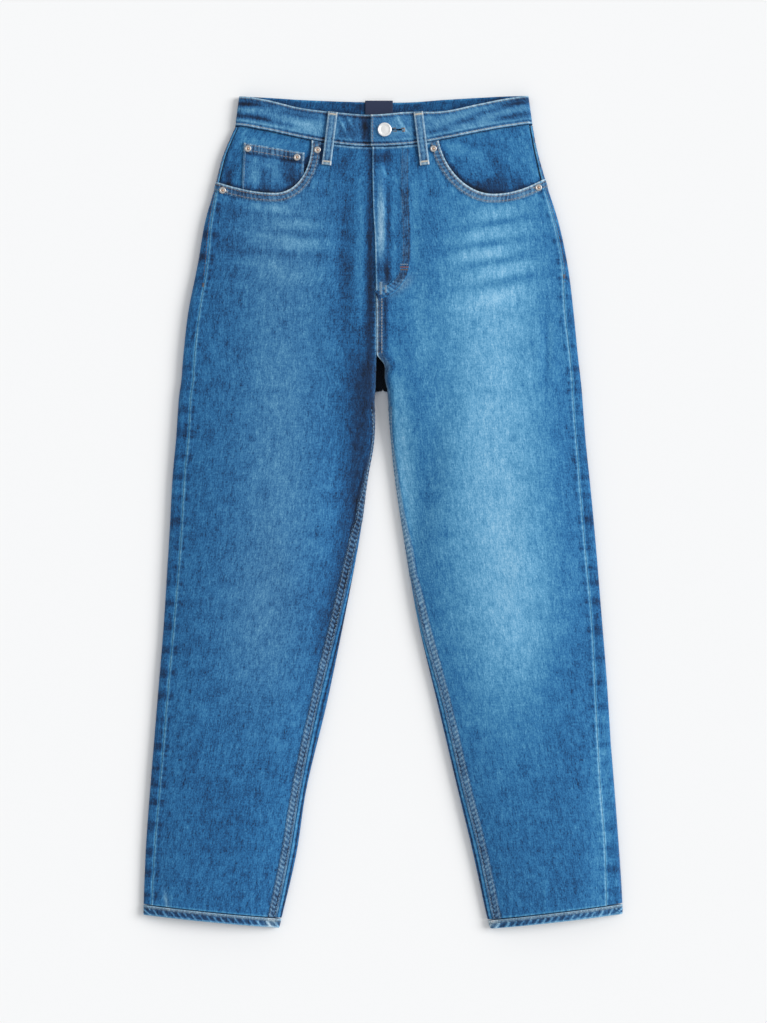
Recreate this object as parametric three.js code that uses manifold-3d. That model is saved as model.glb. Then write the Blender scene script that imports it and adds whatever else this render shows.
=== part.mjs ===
// High-waisted tapered jeans laid flat on their back, legs slightly apart, waist towards +Y.
// Units are millimetres, +Z is up from the surface they lie on. "Right" and "left" are the wearer's:
// the right half is at -X. "Down" is the distance below the highest point of the waist.
import * as THREE from "three";
import Module from "manifold-3d";

const wasm = await Module();
wasm.setup();

const { lerp, clamp, smoothstep, degToRad } = THREE.MathUtils;

// Driving dimensions

const CENTRE_DOWN = 509.6; // half of the length from the highest point of the waist to the lowest hem corner
const CLOTH = 1.5; // one layer of denim
const BAND_CLOTH = 2.5; // folded waistband
const HEM_CLOTH = 3; // turned hem
const FACING_CLOTH = 1.2;
const GAP = 0.3; // between neighbouring pieces
const FOLD_RUN = 10; // how far in from the silhouette the rounded side fold reaches
const LEAD = 4; // smooth cloth beyond a fold before the even columns start
const PATCH_CLOTH = 1.3; // back pockets and back loops, under the seat
const SEAT_LIFT = PATCH_CLOTH + GAP; // the seat lies over its patch pockets

// The plan of each half in rows from waist to hem: the outer silhouette, then the inner one.
// Down to the crotch row the inner point is on the fly edge and the centre front seam.
const PLAN_COLUMNS = ["outX", "outDown", "inX", "inDown"];
const PLAN = {
  right: [
    [-181, 37, -13, 64], // waist seam
    [-196, 74, -13, 95],
    [-207, 117, -12, 141], // pocket ends, yoke seam behind
    [-218, 156, -10, 175],
    [-227, 208, -9, 220],
    [-238, 263, -8, 269],
    [-244, 314, -8, 319], // crotch seam in front
    [-247, 348, -9, 355],
    [-250, 370, -10, 373], // crotch seam behind
    [-254, 422, -11, 422],
    [-258, 470, -19, 470],
    [-262, 544, -29, 544],
    [-268, 641, -48, 644],
    [-276, 739, -69, 745],
    [-284, 836, -93, 845],
    [-290, 916, -106, 928],
    [-293, 989, -124, 1006], // hem seam
    [-293, 1002, -127, 1018], // hem
  ],
  left: [
    [183, 35, -13, 64],
    [189, 68, -13, 95],
    [201, 111, -12, 141],
    [215, 156, -10, 175],
    [226, 208, -9, 220],
    [233, 263, -8, 269],
    [238, 314, -8, 319],
    [242, 348, 4, 355],
    [244, 370, 6, 373],
    [248, 422, 10, 422],
    [253, 470, 15, 470],
    [260, 544, 26, 544],
    [268, 641, 43, 644],
    [276, 739, 67, 745],
    [283, 836, 90, 843],
    [289, 916, 109, 922],
    [293, 988, 128, 1008],
    [293, 1001, 133, 1019],
  ],
};

// The section of each row, the same rows as the plan. backDown is where the row meets the centre back.
// height and edge are the top layer's height at mid leg and at the side folds. The seam columns are how
// far a seam lies from the silhouette, on top where positive and below where negative. lift is how high
// the back lies. The rolls are 0 where the panel ends flat at the centre and 1 where it folds round the leg,
// and archRoll is 0 where the top arches from the side to the centre and 1 where each leg has its own arch.
const SECTION_COLUMNS = [
  "backDown", "height", "edge", "outRight", "outLeft", "inRight", "inLeft", "lift", "frontRoll", "backRoll",
  "archRoll",
];
const SECTIONS = [
  [47, 15, 9, 3, 3, -1, -1, SEAT_LIFT, 0, 0, 0],
  [90, 17, 9.5, 3, 3, -1, -1, SEAT_LIFT, 0, 0, 0],
  [133, 20, 10, 4, 5, -1, -1, SEAT_LIFT, 0, 0, 0],
  [178, 22, 10.5, 8, 6, -1, -1, SEAT_LIFT, 0, 0, 0],
  [222, 24, 11, 12, 7, -1, -1, SEAT_LIFT, 0, 0, 0.05],
  [270, 25, 11.5, 14, 11, -1, -1, SEAT_LIFT, 0, 0, 0.15],
  [320, 25, 11.5, 14, 10, -1, -1, SEAT_LIFT, 0, 0, 0.35],
  [358, 25, 11.5, 15, 11, -1, -1, 0, 1, 0, 0.55],
  [374, 25, 11.5, 15, 12, -1, -1, 0, 1, 1, 0.65],
  [422, 25, 11.5, 16, 12, -3, -3, 0, 1, 1, 0.9],
  [470, 24.5, 11, 15, 13, -2, -3, 0, 1, 1, 1],
  [544, 24, 11, 15, 14, 2, -1, 0, 1, 1, 1],
  [642, 22, 10.5, 13, 13, 6, 3, 0, 1, 1, 1],
  [742, 20, 10, 12, 16, 10, 6, 0, 1, 1, 1],
  [840, 19, 10, 12, 18, 7, 6, 0, 1, 1, 1],
  [920, 18, 9.5, 11, 18, 8, 7, 0, 1, 1, 1],
  [1000, 17, 9, 10, 20, 6, 6, 0, 1, 1, 1],
  [1012, 17, 9, 10, 20, 6, 6, 0, 1, 1, 1],
];
const YOKE_ROW = 2;
const CROTCH_ROW = 6;
const HEM_ROW = 16;
const LAST_ROW = 17;

// Grid steps of the panels: lengthwise, then across each part of a row
const STEPS_PER_ROW = 2;
const LEAD_STEPS = 2;
const TOP_STEPS = 8;
const FOLD_STEPS = 6;
const FRONT_EDGE_STEPS = 5;
const UNDER_STEPS = 4;
const HEM_TOP_STEPS = 8;
const FACING_STEPS = 7;

// The waistband: how far down its edges lie in front and behind, by X.
const BAND_COLUMNS = ["x", "frontTop", "frontBottom", "backTop", "backBottom"];
const BAND = [
  [-181, 0.7, 37, 0.7, 39],
  [-150, 4.4, 42, 2, 42],
  [-101, 16, 52.6, 5, 44.7],
  [-52, 22, 61, 7, 46.5],
  [-13, 24.5, 63.5, 8, 47],
  [33, 21, 61, 8, 47],
  [74, 20, 54.4, 5, 46],
  [122, 10, 44.7, 2.2, 43.4],
  [161, 2.6, 38, 0.4, 40],
  [183, 0.2, 35, 0.2, 37],
];
const BAND_TOP_RIGHT_X = -176; // silhouette at the band's top edge
const BAND_TOP_LEFT_X = 178;
const BAND_ROWS = 3;
const BAND_STEP = 15; // between columns along the band
const BAND_LAP_END_X = -15; // the left end, on top
const BAND_UNDER_END_X = 16; // the right end, under it
const BAND_RAISE = 1.6; // the left end is raised by this, the right end lowered by the rest
const BAND_LOWER = BAND_CLOTH + GAP - BAND_RAISE;
const BAND_RAISE_FADE = [19, 33]; // X
const BAND_LOWER_FADE = [-35, -18]; // X
const BAND_BACK_STEPS = 6;

// The fly: the left front laps over the right front's edge.
const FLY_UNDERLAP = 10;
const FLY_UNDERLAP_FADE = [222, 240]; // down
const FLY_RAISE_FADE = [246, 290]; // down
const FLY_RAISE_ACROSS = [12, 26]; // in from the fly edge
const FLY_RAISE = CLOTH + GAP;

// The largest soft folds of the top layer: X, down, direction in degrees, half length, half width, height
const FOLDS = [
  [-46, 200, 92, 90, 14, -1.8], // valley beside the fly
  [36, 190, 88, 70, 12, -1.2],
  [-52, 455, 80, 120, 22, -2.2], // inner thigh
  [52, 470, 100, 110, 20, -1.6],
  [199, 312, 92, 42, 5, -1.1], // pressed crease on the left hip
  [-140, 192, -8, 50, 10, 1],
  [-132, 228, -8, 52, 10, 0.9],
  [120, 188, 8, 48, 10, 1],
  [126, 224, 8, 52, 10, 0.9],
  [-170, 690, 6, 70, 22, -1.2], // knees
  [182, 700, -6, 70, 22, -1.2],
];

// Front pocket openings: a curve from the waist seam to the side seam, as two cubic Bezier stretches
const SCOOP = {
  right: [[-87.5, 52], [-85, 84], [-101, 120], [-132, 120], [-154, 120], [-176, 115], [-206, 105]],
  left: [[67, 50], [72, 88], [101, 121], [134, 121], [156, 121], [174, 115], [199, 101]],
};
const SCOOP_OUTSIDE_DOWN = 10; // the cut runs out above the waist seam
const SCOOP_OUTSIDE_X = 240; // and past the side
const SCOOP_POINTS = 12; // for each stretch
const SCOOP_PRISM_LOW = -5;
const SCOOP_PRISM_HIGH = 60;
const FACING_INNER_X = { right: -70, left: 50 };
const FACING_ROWS_END = 2.5; // as a row number
const FACING_EDGE_GAP = 1.2;
const FACING_DEPTH = CLOTH / 2 + GAP + FACING_CLOTH / 2;

const COIN_CLOTH = 1;
const COIN_CORNERS = [[-170, 58], [-96, 71], [-98, 124], [-173, 124]]; // X and down, from the mouth round
const COIN_STEPS = 5;

const LOOP_CLOTH = 1.5;
const LOOP_WIDTH = 11.5;
const LOOP_BOW = 1.2;
const LOOP_STEPS = 6;
// Centre line of each front loop: top and bottom, X and down
const FRONT_LOOPS = {
  loop_front_right: [[-61, 21], [-69, 86]],
  loop_front_left: [[43, 21], [51, 86]],
};
const BACK_LOOP_LENGTH = 58;
const BACK_LOOPS = { loop_back_right: [-112, 6], loop_back_middle: [0, 10], loop_back_left: [114, 4] };

const POCKET = { top: 150, width: 146, side: 125, point: 150, baseWidth: 122, centreX: 98 };

const BUTTON_X = 2;
const BUTTON_DOWN = 43;
const BUTTON_RADIUS = 8.6;
const BUTTON_CAP = 2.6;
const BUTTON_SIDES = 28;
const SHANK_RADIUS = 2.3;
const EYE_RADIUS = 2.9;
const EYE_SIDES = 20;
const SLIT = { end: 24, width: 1.8 };
const KEYHOLE_DEPTH = 4; // through the whole band

const RIVET_RADIUS = 4.2;
const RIVET_HEIGHT = 1.4;
const RIVET_SIDES = 14;
const RIVET_GAP = 0.6; // the cloth curves up beside a rivet's flat face
// Rivets by their piece below: X and down
const RIVETS_ON_COIN = { rivet_coin_outer: [-165, 65.5], rivet_coin_inner: [-105, 76.5] };
const RIVETS_ON_FRONT = {
  rivet_scoop_right: ["right", -80, 67.5],
  rivet_scoop_left: ["left", 61.5, 66],
  rivet_side_right: ["right", -196, 116.5],
  rivet_side_left: ["left", 190, 113],
};

const LABEL = { x: -5, down: 17, width: 34, length: 22, cloth: 1 };
const ZIP = { cloth: 1.2, before: 9, after: 20, top: 68, bottom: 236, stepsAlong: 6, stepsAcross: 3 };

const DENIM = new THREE.MeshStandardMaterial({ color: 0x4d83b3, roughness: 0.9, metalness: 0 });
const METAL = new THREE.MeshStandardMaterial({ color: 0xd5d3cf, roughness: 0.35, metalness: 1 });
const NAVY = new THREE.MeshStandardMaterial({ color: 0x1b2436, roughness: 0.9, metalness: 0 });

const jeans = new THREE.Group();
jeans.position.set(0, CENTRE_DOWN, 0);

// Interpolation in tables

function curve(before, from, to, after, f) {
  const slope = (to - before) * f;
  const bend = (2 * before - 5 * from + 4 * to - after) * f * f;
  const twist = (3 * from - before - 3 * to + after) * f * f * f;
  return from + (slope + bend + twist) / 2;
}

// A smooth value of one column at a row number that may be fractional, within rows first to last
function columnAt(table, column, place, first, last) {
  const i = clamp(Math.floor(place), first, last - 1);
  const before = table[Math.max(i - 1, first)][column];
  const after = table[Math.min(i + 2, last)][column];
  return curve(before, table[i][column], table[i + 1][column], after, place - i);
}

// The row of one half at a row number: its plan points, its section values and their derived sizes
function rowAt(half, place) {
  const row = { half, place };
  PLAN_COLUMNS.forEach((name, column) => {
    const inner = name === "inX" || name === "inDown";
    const first = inner && place > CROTCH_ROW ? CROTCH_ROW : 0;
    const last = inner && place <= CROTCH_ROW ? CROTCH_ROW : LAST_ROW;
    row[name] = columnAt(PLAN[half], column, place, first, last);
  });
  SECTION_COLUMNS.forEach((name, column) => {
    row[name] = columnAt(SECTIONS, column, place, 0, LAST_ROW);
  });
  row.frontRoll = clamp(row.frontRoll, 0, 1);
  row.backRoll = clamp(row.backRoll, 0, 1);
  row.archRoll = clamp(row.archRoll, 0, 1);
  row.lift = clamp(row.lift, 0, SEAT_LIFT);
  row.outSeam = half === "right" ? row.outRight : row.outLeft;
  row.inSeam = half === "right" ? row.inRight : row.inLeft;
  row.out = new THREE.Vector2(row.outX, row.outDown);
  row.inner = new THREE.Vector2(row.inX, row.inDown);
  row.width = row.inner.distanceTo(row.out);
  row.along = row.inner.clone().sub(row.out).normalize();
  return row;
}

function bandAt(name, x) {
  const column = BAND_COLUMNS.indexOf(name);
  let i = 1;
  while (i < BAND.length - 1 && BAND[i][0] < x) i += 1;
  const f = clamp((x - BAND[i - 1][0]) / (BAND[i][0] - BAND[i - 1][0]), 0, 1);
  return columnAt(BAND, column, i - 1 + f, 0, BAND.length - 1);
}

// The form of the cloth

// Soft folds at a point of the top layer
function foldsAt(x, down) {
  let rise = 0;
  for (const [foldX, foldDown, turn, length, width, height] of FOLDS) {
    const cos = Math.cos(degToRad(turn));
    const sin = Math.sin(degToRad(turn));
    const u = (x - foldX) * cos + (down - foldDown) * sin;
    const v = (down - foldDown) * cos - (x - foldX) * sin;
    rise += height * Math.exp(-((u / length) ** 2) - (v / width) ** 2);
  }
  return rise;
}

// The top layer's arch at a distance across from the outer silhouette, before soft folds
function archAt(row, across) {
  const run = row.width - FOLD_RUN * (1 + row.archRoll);
  const t = clamp((across - FOLD_RUN) / run, 0, 1);
  const wave = Math.sin((Math.PI / 2) * (1 + row.archRoll) * t);
  return row.edge + ((row.height - row.edge) * wave * (3 - wave)) / 2;
}

function quarterArc(row, thickness) {
  const run = FOLD_RUN - thickness / 2;
  const rise = (row.edge - thickness / 2 - row.lift) / 2;
  return (Math.PI / 2) * Math.sqrt((run * run + rise * rise) / 2);
}

// How far round the fold a seam lies, from the silhouette, positive towards the top
function arcOf(row, across, thickness) {
  const quarter = quarterArc(row, thickness);
  const distance = Math.abs(across);
  if (distance >= FOLD_RUN) return Math.sign(across) * (quarter + distance - FOLD_RUN);
  const sine = clamp((FOLD_RUN - distance) / (FOLD_RUN - thickness / 2), 0, 1);
  return Math.sign(across) * quarter * (1 - Math.asin(sine) / (Math.PI / 2));
}

// A point of the section at an arc from a silhouette: distance in, height and normal.
// Beyond the fold it is flat below, and level with archHeight on top. foldTop is the fold's own height.
function foldPoint(row, arc, thickness, archHeight, foldTop = row.edge) {
  const low = thickness / 2 + row.lift;
  const quarter = quarterArc(row, thickness);
  if (arc >= quarter) {
    return { across: FOLD_RUN + arc - quarter, z: archHeight, normalAcross: 0, normalZ: 1, top: 1 };
  }
  if (arc <= -quarter) {
    return { across: FOLD_RUN - arc - quarter, z: low, normalAcross: 0, normalZ: -1, top: 0 };
  }
  const run = FOLD_RUN - thickness / 2;
  const rise = (foldTop - low) / 2;
  const angle = (Math.PI / 2) * (1 - arc / quarter);
  const size = Math.hypot(Math.sin(angle) * rise, Math.cos(angle) * run);
  return {
    across: FOLD_RUN - run * Math.sin(angle),
    z: (foldTop + low) / 2 + rise * Math.cos(angle),
    normalAcross: (-Math.sin(angle) * rise) / size,
    normalZ: (Math.cos(angle) * run) / size,
    top: Math.max(Math.cos(angle), 0),
  };
}

function mixPoints(a, b, f) {
  const mixed = {};
  for (const key of Object.keys(a)) mixed[key] = lerp(a[key], b[key], f);
  return mixed;
}

// How far a row near the waist sags so that the first row runs along the waistband's curved edge
function sagAt(half, rowPlace, face, x) {
  if (rowPlace >= 1) return 0;
  const [outX, outDown, inX, inDown] = PLAN[half][0];
  const endDown = face === "front" ? inDown : SECTIONS[0][0];
  const endX = face === "front" ? inX : 0;
  const straight = lerp(outDown, endDown, (x - outX) / (endX - outX));
  return (bandAt(face + "Bottom", x) - straight) * (1 - rowPlace);
}

// A section's point in space: base is a plan point on a silhouette, along points into the panel
function place(row, face, base, along, point) {
  const x = base.x + along.x * point.across;
  const down = base.y + along.y * point.across + sagAt(row.half, row.place, face, x);
  const z = point.z + foldsAt(x, down) * point.top;
  const { normalAcross, normalZ } = point;
  const normal = new THREE.Vector3(along.x * normalAcross, -along.y * normalAcross, normalZ).normalize();
  return { position: new THREE.Vector3(x, -down, z), normal };
}

// Solids

// A closed wall from a grid of mid-surface points: half the thickness is added on each side of it
function wall(grid, thickness, ring = false) {
  const rows = grid.length;
  const columns = grid[0].length;
  const positions = [];
  for (const side of [1, -1]) {
    for (const line of grid) {
      for (const { position, normal } of line) {
        const point = position.clone().addScaledVector(normal, (side * thickness) / 2);
        positions.push(point.x, point.y, point.z);
      }
    }
  }
  const inside = rows * columns;
  const index = [];
  const quad = (a, b, c, d) => index.push(a, b, c, a, c, d);
  const columnEnd = ring ? columns : columns - 1;
  for (let i = 0; i < rows - 1; i += 1) {
    for (let j = 0; j < columnEnd; j += 1) {
      const next = (j + 1) % columns;
      const [a, b] = [i * columns + j, i * columns + next];
      const [c, d] = [(i + 1) * columns + next, (i + 1) * columns + j];
      quad(a, b, c, d);
      quad(inside + d, inside + c, inside + b, inside + a);
    }
  }
  for (let j = 0; j < columnEnd; j += 1) {
    const next = (j + 1) % columns;
    const last = (rows - 1) * columns;
    quad(inside + j, inside + next, next, j);
    quad(last + j, last + next, inside + last + next, inside + last + j);
  }
  for (let i = 0; i < rows - 1 && !ring; i += 1) {
    const [a, b] = [i * columns, (i + 1) * columns];
    quad(a, b, inside + b, inside + a);
    quad(inside + a + columns - 1, inside + b + columns - 1, b + columns - 1, a + columns - 1);
  }
  return faceOut(positions, index);
}

// Turns all triangles round where the enclosed volume comes out negative
function faceOut(positions, index) {
  const corner = (i) => new THREE.Vector3().fromArray(positions, index[i] * 3);
  let volume = 0;
  for (let i = 0; i < index.length; i += 3) {
    volume += corner(i).dot(corner(i + 1).cross(corner(i + 2)));
  }
  if (volume < 0) index.reverse();
  const geometry = new THREE.BufferGeometry();
  geometry.setAttribute("position", new THREE.Float32BufferAttribute(positions, 3));
  geometry.setIndex(index);
  return geometry;
}

function toSolid(geometry) {
  const vertProperties = new Float32Array(geometry.getAttribute("position").array);
  const triVerts = new Uint32Array(geometry.getIndex().array);
  const mesh = new wasm.Mesh({ numProp: 3, vertProperties, triVerts });
  mesh.merge();
  return new wasm.Manifold(mesh);
}

function toGeometry(solid) {
  const mesh = solid.getMesh();
  const geometry = new THREE.BufferGeometry();
  geometry.setAttribute("position", new THREE.Float32BufferAttribute(mesh.vertProperties, 3));
  geometry.setIndex([...mesh.triVerts]);
  return geometry;
}

// An upright prism over a plan outline of [x, down] points, ready to cut or to keep
function prism(outline, low, high) {
  const shape = new THREE.Shape(outline.map(([x, down]) => new THREE.Vector2(x, -down)));
  const geometry = new THREE.ExtrudeGeometry(shape, { depth: high - low, bevelEnabled: false });
  geometry.translate(0, 0, low);
  geometry.deleteAttribute("normal");
  geometry.deleteAttribute("uv");
  const count = geometry.getAttribute("position").count;
  geometry.setIndex([...Array(count).keys()]);
  return geometry;
}

function add(name, geometry, material = DENIM) {
  const mesh = new THREE.Mesh(geometry, material);
  mesh.name = name;
  jeans.add(mesh);
  return mesh;
}

// Evenly spaced row numbers from one place to another, with the ends included
function places(from, to, perRow = STEPS_PER_ROW) {
  const count = Math.max(1, Math.round((to - from) * perRow));
  return Array.from({ length: count + 1 }, (_, i) => lerp(from, to, i / count));
}

function steps(count) {
  return Array.from({ length: count + 1 }, (_, i) => i / count);
}

// Half the gap at a row seam, as a row number
function gapInRows(place) {
  const a = rowAt("right", place);
  const b = rowAt("right", place + 0.1);
  return (GAP / 2) * (0.1 / (b.outDown - a.outDown));
}

// Leg panels

function underlapAt(down) {
  return FLY_UNDERLAP * (1 - smoothstep(down, ...FLY_UNDERLAP_FADE));
}

function flyRaiseAt(half, across, down) {
  if (half !== "left") return 0;
  const sideways = 1 - smoothstep(across, ...FLY_RAISE_ACROSS);
  return FLY_RAISE * sideways * (1 - smoothstep(down, ...FLY_RAISE_FADE));
}

// One row of a front panel, from the side seam to the inner seam or the centre
function frontLine(half, rowPlace) {
  const row = rowAt(half, rowPlace);
  const quarter = quarterArc(row, CLOTH);
  const start = arcOf(row, row.outSeam, CLOTH) + GAP / 2;
  const startEnd = Math.max(start, quarter) + LEAD;
  const end = arcOf(row, row.inSeam, CLOTH) + GAP / 2;
  const endStart = Math.max(end, quarter) + LEAD;
  const onTop = (across) => foldPoint(row, quarter + across - FOLD_RUN, CLOTH, archAt(row, across));
  const line = [];
  for (const f of steps(LEAD_STEPS)) {
    const arc = lerp(start, startEnd, f);
    const across = FOLD_RUN + arc - quarter;
    line.push(place(row, "front", row.out, row.along, foldPoint(row, arc, CLOTH, archAt(row, across))));
  }
  const from = FOLD_RUN + startEnd - quarter;
  const to = row.width - (FOLD_RUN + endStart - quarter);
  for (const f of steps(TOP_STEPS).slice(1, -1)) {
    line.push(place(row, "front", row.out, row.along, onTop(lerp(from, to, f))));
  }
  const back = row.along.clone().negate();
  const innerTop = archAt(row, row.width - FOLD_RUN);
  const flatEnd = half === "right" ? GAP / 2 - underlapAt(row.inDown) : GAP / 2;
  for (const f of steps(FRONT_EDGE_STEPS)) {
    const arc = lerp(endStart, end, f);
    const foldAcross = FOLD_RUN + arc - quarter;
    const folded = foldPoint(row, arc, CLOTH, archAt(row, row.width - foldAcross), innerTop);
    const across = lerp(FOLD_RUN + endStart - quarter, flatEnd, f);
    const z = archAt(row, row.width - across) + flyRaiseAt(half, across, row.inDown);
    const flat = { across, z, normalAcross: 0, normalZ: 1, top: 1 };
    line.push(place(row, "front", row.inner, back, mixPoints(flat, folded, row.frontRoll)));
  }
  return line;
}

// One row of a back panel or yoke, from the side seam round and across the underside
function backLine(half, rowPlace) {
  const row = rowAt(half, rowPlace);
  const quarter = quarterArc(row, CLOTH);
  const start = arcOf(row, row.outSeam, CLOTH) - GAP / 2;
  const end = arcOf(row, row.inSeam, CLOTH) - GAP / 2;
  const centre = new THREE.Vector2(0, row.backDown);
  const inner = centre.lerp(row.inner, row.backRoll);
  const along = inner.clone().sub(row.out).normalize();
  const width = inner.distanceTo(row.out);
  const line = [];
  for (const f of steps(FOLD_STEPS)) {
    const arc = lerp(start, -quarter, f);
    const across = FOLD_RUN + arc - quarter;
    line.push(place(row, "back", row.out, along, foldPoint(row, arc, CLOTH, archAt(row, across))));
  }
  for (const f of steps(UNDER_STEPS).slice(1, -1)) {
    const across = lerp(FOLD_RUN, width - FOLD_RUN, f);
    line.push(place(row, "back", row.out, along, foldPoint(row, FOLD_RUN - across - quarter, CLOTH, 0)));
  }
  const back = along.clone().negate();
  const innerTop = archAt(row, row.width - FOLD_RUN);
  for (const f of steps(FOLD_STEPS)) {
    const arc = lerp(-quarter, end, f);
    const foldAcross = FOLD_RUN + arc - quarter;
    const folded = foldPoint(row, arc, CLOTH, archAt(row, row.width - foldAcross), innerTop);
    const across = lerp(FOLD_RUN, GAP / 2, f);
    const flat = { across, z: CLOTH / 2 + row.lift, normalAcross: 0, normalZ: -1, top: 0 };
    line.push(place(row, "back", inner, back, mixPoints(flat, folded, row.backRoll)));
  }
  return line;
}

// The whole loop of the turned hem at one row
function hemLine(half, rowPlace) {
  const row = rowAt(half, rowPlace);
  const quarter = quarterArc(row, HEM_CLOTH);
  const back = row.along.clone().negate();
  const line = [];
  for (const f of steps(HEM_TOP_STEPS)) {
    const across = lerp(FOLD_RUN, row.width - FOLD_RUN, f);
    const point = foldPoint(row, quarter + across - FOLD_RUN, HEM_CLOTH, archAt(row, across));
    line.push(place(row, "front", row.out, row.along, point));
  }
  for (const f of steps(FOLD_STEPS).slice(1)) {
    const point = foldPoint(row, lerp(quarter, -quarter, f), HEM_CLOTH, row.edge);
    line.push(place(row, "front", row.inner, back, point));
  }
  for (const f of steps(FOLD_STEPS).slice(0, -1)) {
    const point = foldPoint(row, lerp(-quarter, quarter, f), HEM_CLOTH, row.edge);
    line.push(place(row, "front", row.out, row.along, point));
  }
  return line;
}

// Pocket openings

// Points of a scoop edge from the waist to the side, moved inset towards the opening
function scoopEdge(half, inset) {
  const points = SCOOP[half].map(([x, down]) => new THREE.Vector2(x, down));
  const path = new THREE.CurvePath();
  path.add(new THREE.CubicBezierCurve(...points.slice(0, 4)));
  path.add(new THREE.CubicBezierCurve(...points.slice(3, 7)));
  const turn = half === "right" ? -1 : 1;
  const edge = [];
  path.curves.forEach((stretch, number) => {
    for (const f of steps(SCOOP_POINTS).slice(number)) {
      const tangent = stretch.getTangent(f);
      const point = stretch.getPoint(f);
      edge.push([point.x + turn * inset * tangent.y, point.y - turn * inset * tangent.x]);
    }
  });
  return edge;
}

function openingPrism(half, inset) {
  const side = half === "right" ? -1 : 1;
  const edge = scoopEdge(half, inset);
  const lastDown = edge[edge.length - 1][1];
  const outside = [
    [side * SCOOP_OUTSIDE_X, lastDown],
    [side * SCOOP_OUTSIDE_X, SCOOP_OUTSIDE_DOWN],
    [edge[0][0], SCOOP_OUTSIDE_DOWN],
  ];
  return prism([...edge, ...outside], SCOOP_PRISM_LOW, SCOOP_PRISM_HIGH);
}

// The front pocket's facing: a strip of denim under the front that shows in the opening
function facingLine(half, rowPlace) {
  const row = rowAt(half, rowPlace);
  const quarter = quarterArc(row, CLOTH);
  const start = arcOf(row, row.outSeam, CLOTH) + FACING_EDGE_GAP;
  const end = quarter + (FACING_INNER_X[half] - row.outX) / row.along.x - FOLD_RUN;
  return steps(FACING_STEPS).map((f) => {
    const arc = lerp(start, end, f);
    const fold = foldPoint(row, arc, CLOTH, archAt(row, FOLD_RUN + arc - quarter));
    const point = place(row, "front", row.out, row.along, fold);
    point.position.addScaledVector(point.normal, -FACING_DEPTH);
    return point;
  });
}

// The top layer's mid surface over a plan point: position and normal
function frontSurface(half, x, down) {
  const point = new THREE.Vector2(x, down);
  let [low, high] = [0, CROTCH_ROW];
  for (let i = 0; i < 24; i += 1) {
    const middle = (low + high) / 2;
    const row = rowAt(half, middle);
    const unsagged = new THREE.Vector2(x, down - sagAt(half, middle, "front", x));
    const below = row.along.cross(unsagged.sub(row.out)) * (half === "right" ? 1 : -1) > 0;
    if (below) low = middle;
    else high = middle;
  }
  const row = rowAt(half, low);
  const across = point.sub(row.out).dot(row.along);
  const quarter = quarterArc(row, CLOTH);
  const arc = across >= FOLD_RUN ? quarter + across - FOLD_RUN : arcOf(row, across, CLOTH);
  return place(row, "front", row.out, row.along, foldPoint(row, arc, CLOTH, archAt(row, across)));
}

// Waistband

// The band's mid surface on one face at X, v of the way from its top edge to its bottom edge
function bandPoint(face, half, across, v) {
  const right = half === "right";
  const x = bandOutX(half, v) + (right ? across : -across);
  const down = lerp(bandAt(face + "Top", x), bandAt(face + "Bottom", x) - GAP, v);
  return { x, down };
}

function bandHeightAt(half, across) {
  const row = rowAt(half, 0);
  return archAt({ ...row, width: Math.abs(row.outX - row.inX) }, across);
}

function bandLap(half, x) {
  if (half === "left") return BAND_RAISE * (1 - smoothstep(x, ...BAND_RAISE_FADE));
  return -BAND_LOWER * smoothstep(x, ...BAND_LOWER_FADE);
}

// X of the silhouette beside the band
function bandOutX(half, v) {
  return lerp(half === "right" ? BAND_TOP_RIGHT_X : BAND_TOP_LEFT_X, PLAN[half][0][0], v);
}

// One line all round the band, from the right end at the fly round the back to the left end on top
function bandLine(v) {
  const line = [];
  const topPoint = (half, across) => {
    const { x, down } = bandPoint("front", half, across, v);
    const z = bandHeightAt(half, across) + bandLap(half, x);
    return { position: new THREE.Vector3(x, -down, z), normal: new THREE.Vector3(0, 0, 1) };
  };
  const backPoint = (half, across) => {
    const { x, down } = bandPoint("back", half, across, v);
    const z = BAND_CLOTH / 2 + SEAT_LIFT;
    return { position: new THREE.Vector3(x, -down, z), normal: new THREE.Vector3(0, 0, -1) };
  };
  const sidePoint = (half, arc) => {
    const row = rowAt(half, 0);
    const fold = foldPoint(row, arc, BAND_CLOTH, row.edge);
    const front = bandPoint("front", half, fold.across, v);
    const rear = bandPoint("back", half, fold.across, v);
    const down = lerp(rear.down, front.down, (fold.normalZ + 1) / 2);
    const side = half === "right" ? 1 : -1;
    const normal = new THREE.Vector3(side * fold.normalAcross, 0, fold.normalZ).normalize();
    return { position: new THREE.Vector3(front.x, -down, fold.z), normal };
  };
  const rightOut = bandOutX("right", v);
  const leftOut = bandOutX("left", v);
  const rightEnd = BAND_UNDER_END_X - rightOut;
  const leftEnd = leftOut - BAND_LAP_END_X;
  const quarter = quarterArc(rowAt("right", 0), BAND_CLOTH);
  const topSteps = steps(Math.round(rightEnd / BAND_STEP));
  const backSteps = steps(BAND_BACK_STEPS);
  for (const f of topSteps.slice(0, -1)) line.push(topPoint("right", lerp(rightEnd, FOLD_RUN, f)));
  for (const f of steps(FOLD_STEPS)) line.push(sidePoint("right", lerp(quarter, -quarter, f)));
  for (const f of backSteps.slice(1)) line.push(backPoint("right", lerp(FOLD_RUN, -rightOut, f)));
  for (const f of backSteps.slice(1, -1)) line.push(backPoint("left", lerp(leftOut, FOLD_RUN, f)));
  for (const f of steps(FOLD_STEPS)) line.push(sidePoint("left", lerp(-quarter, quarter, f)));
  for (const f of topSteps.slice(1)) line.push(topPoint("left", lerp(FOLD_RUN, leftEnd, f)));
  return line;
}

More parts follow.
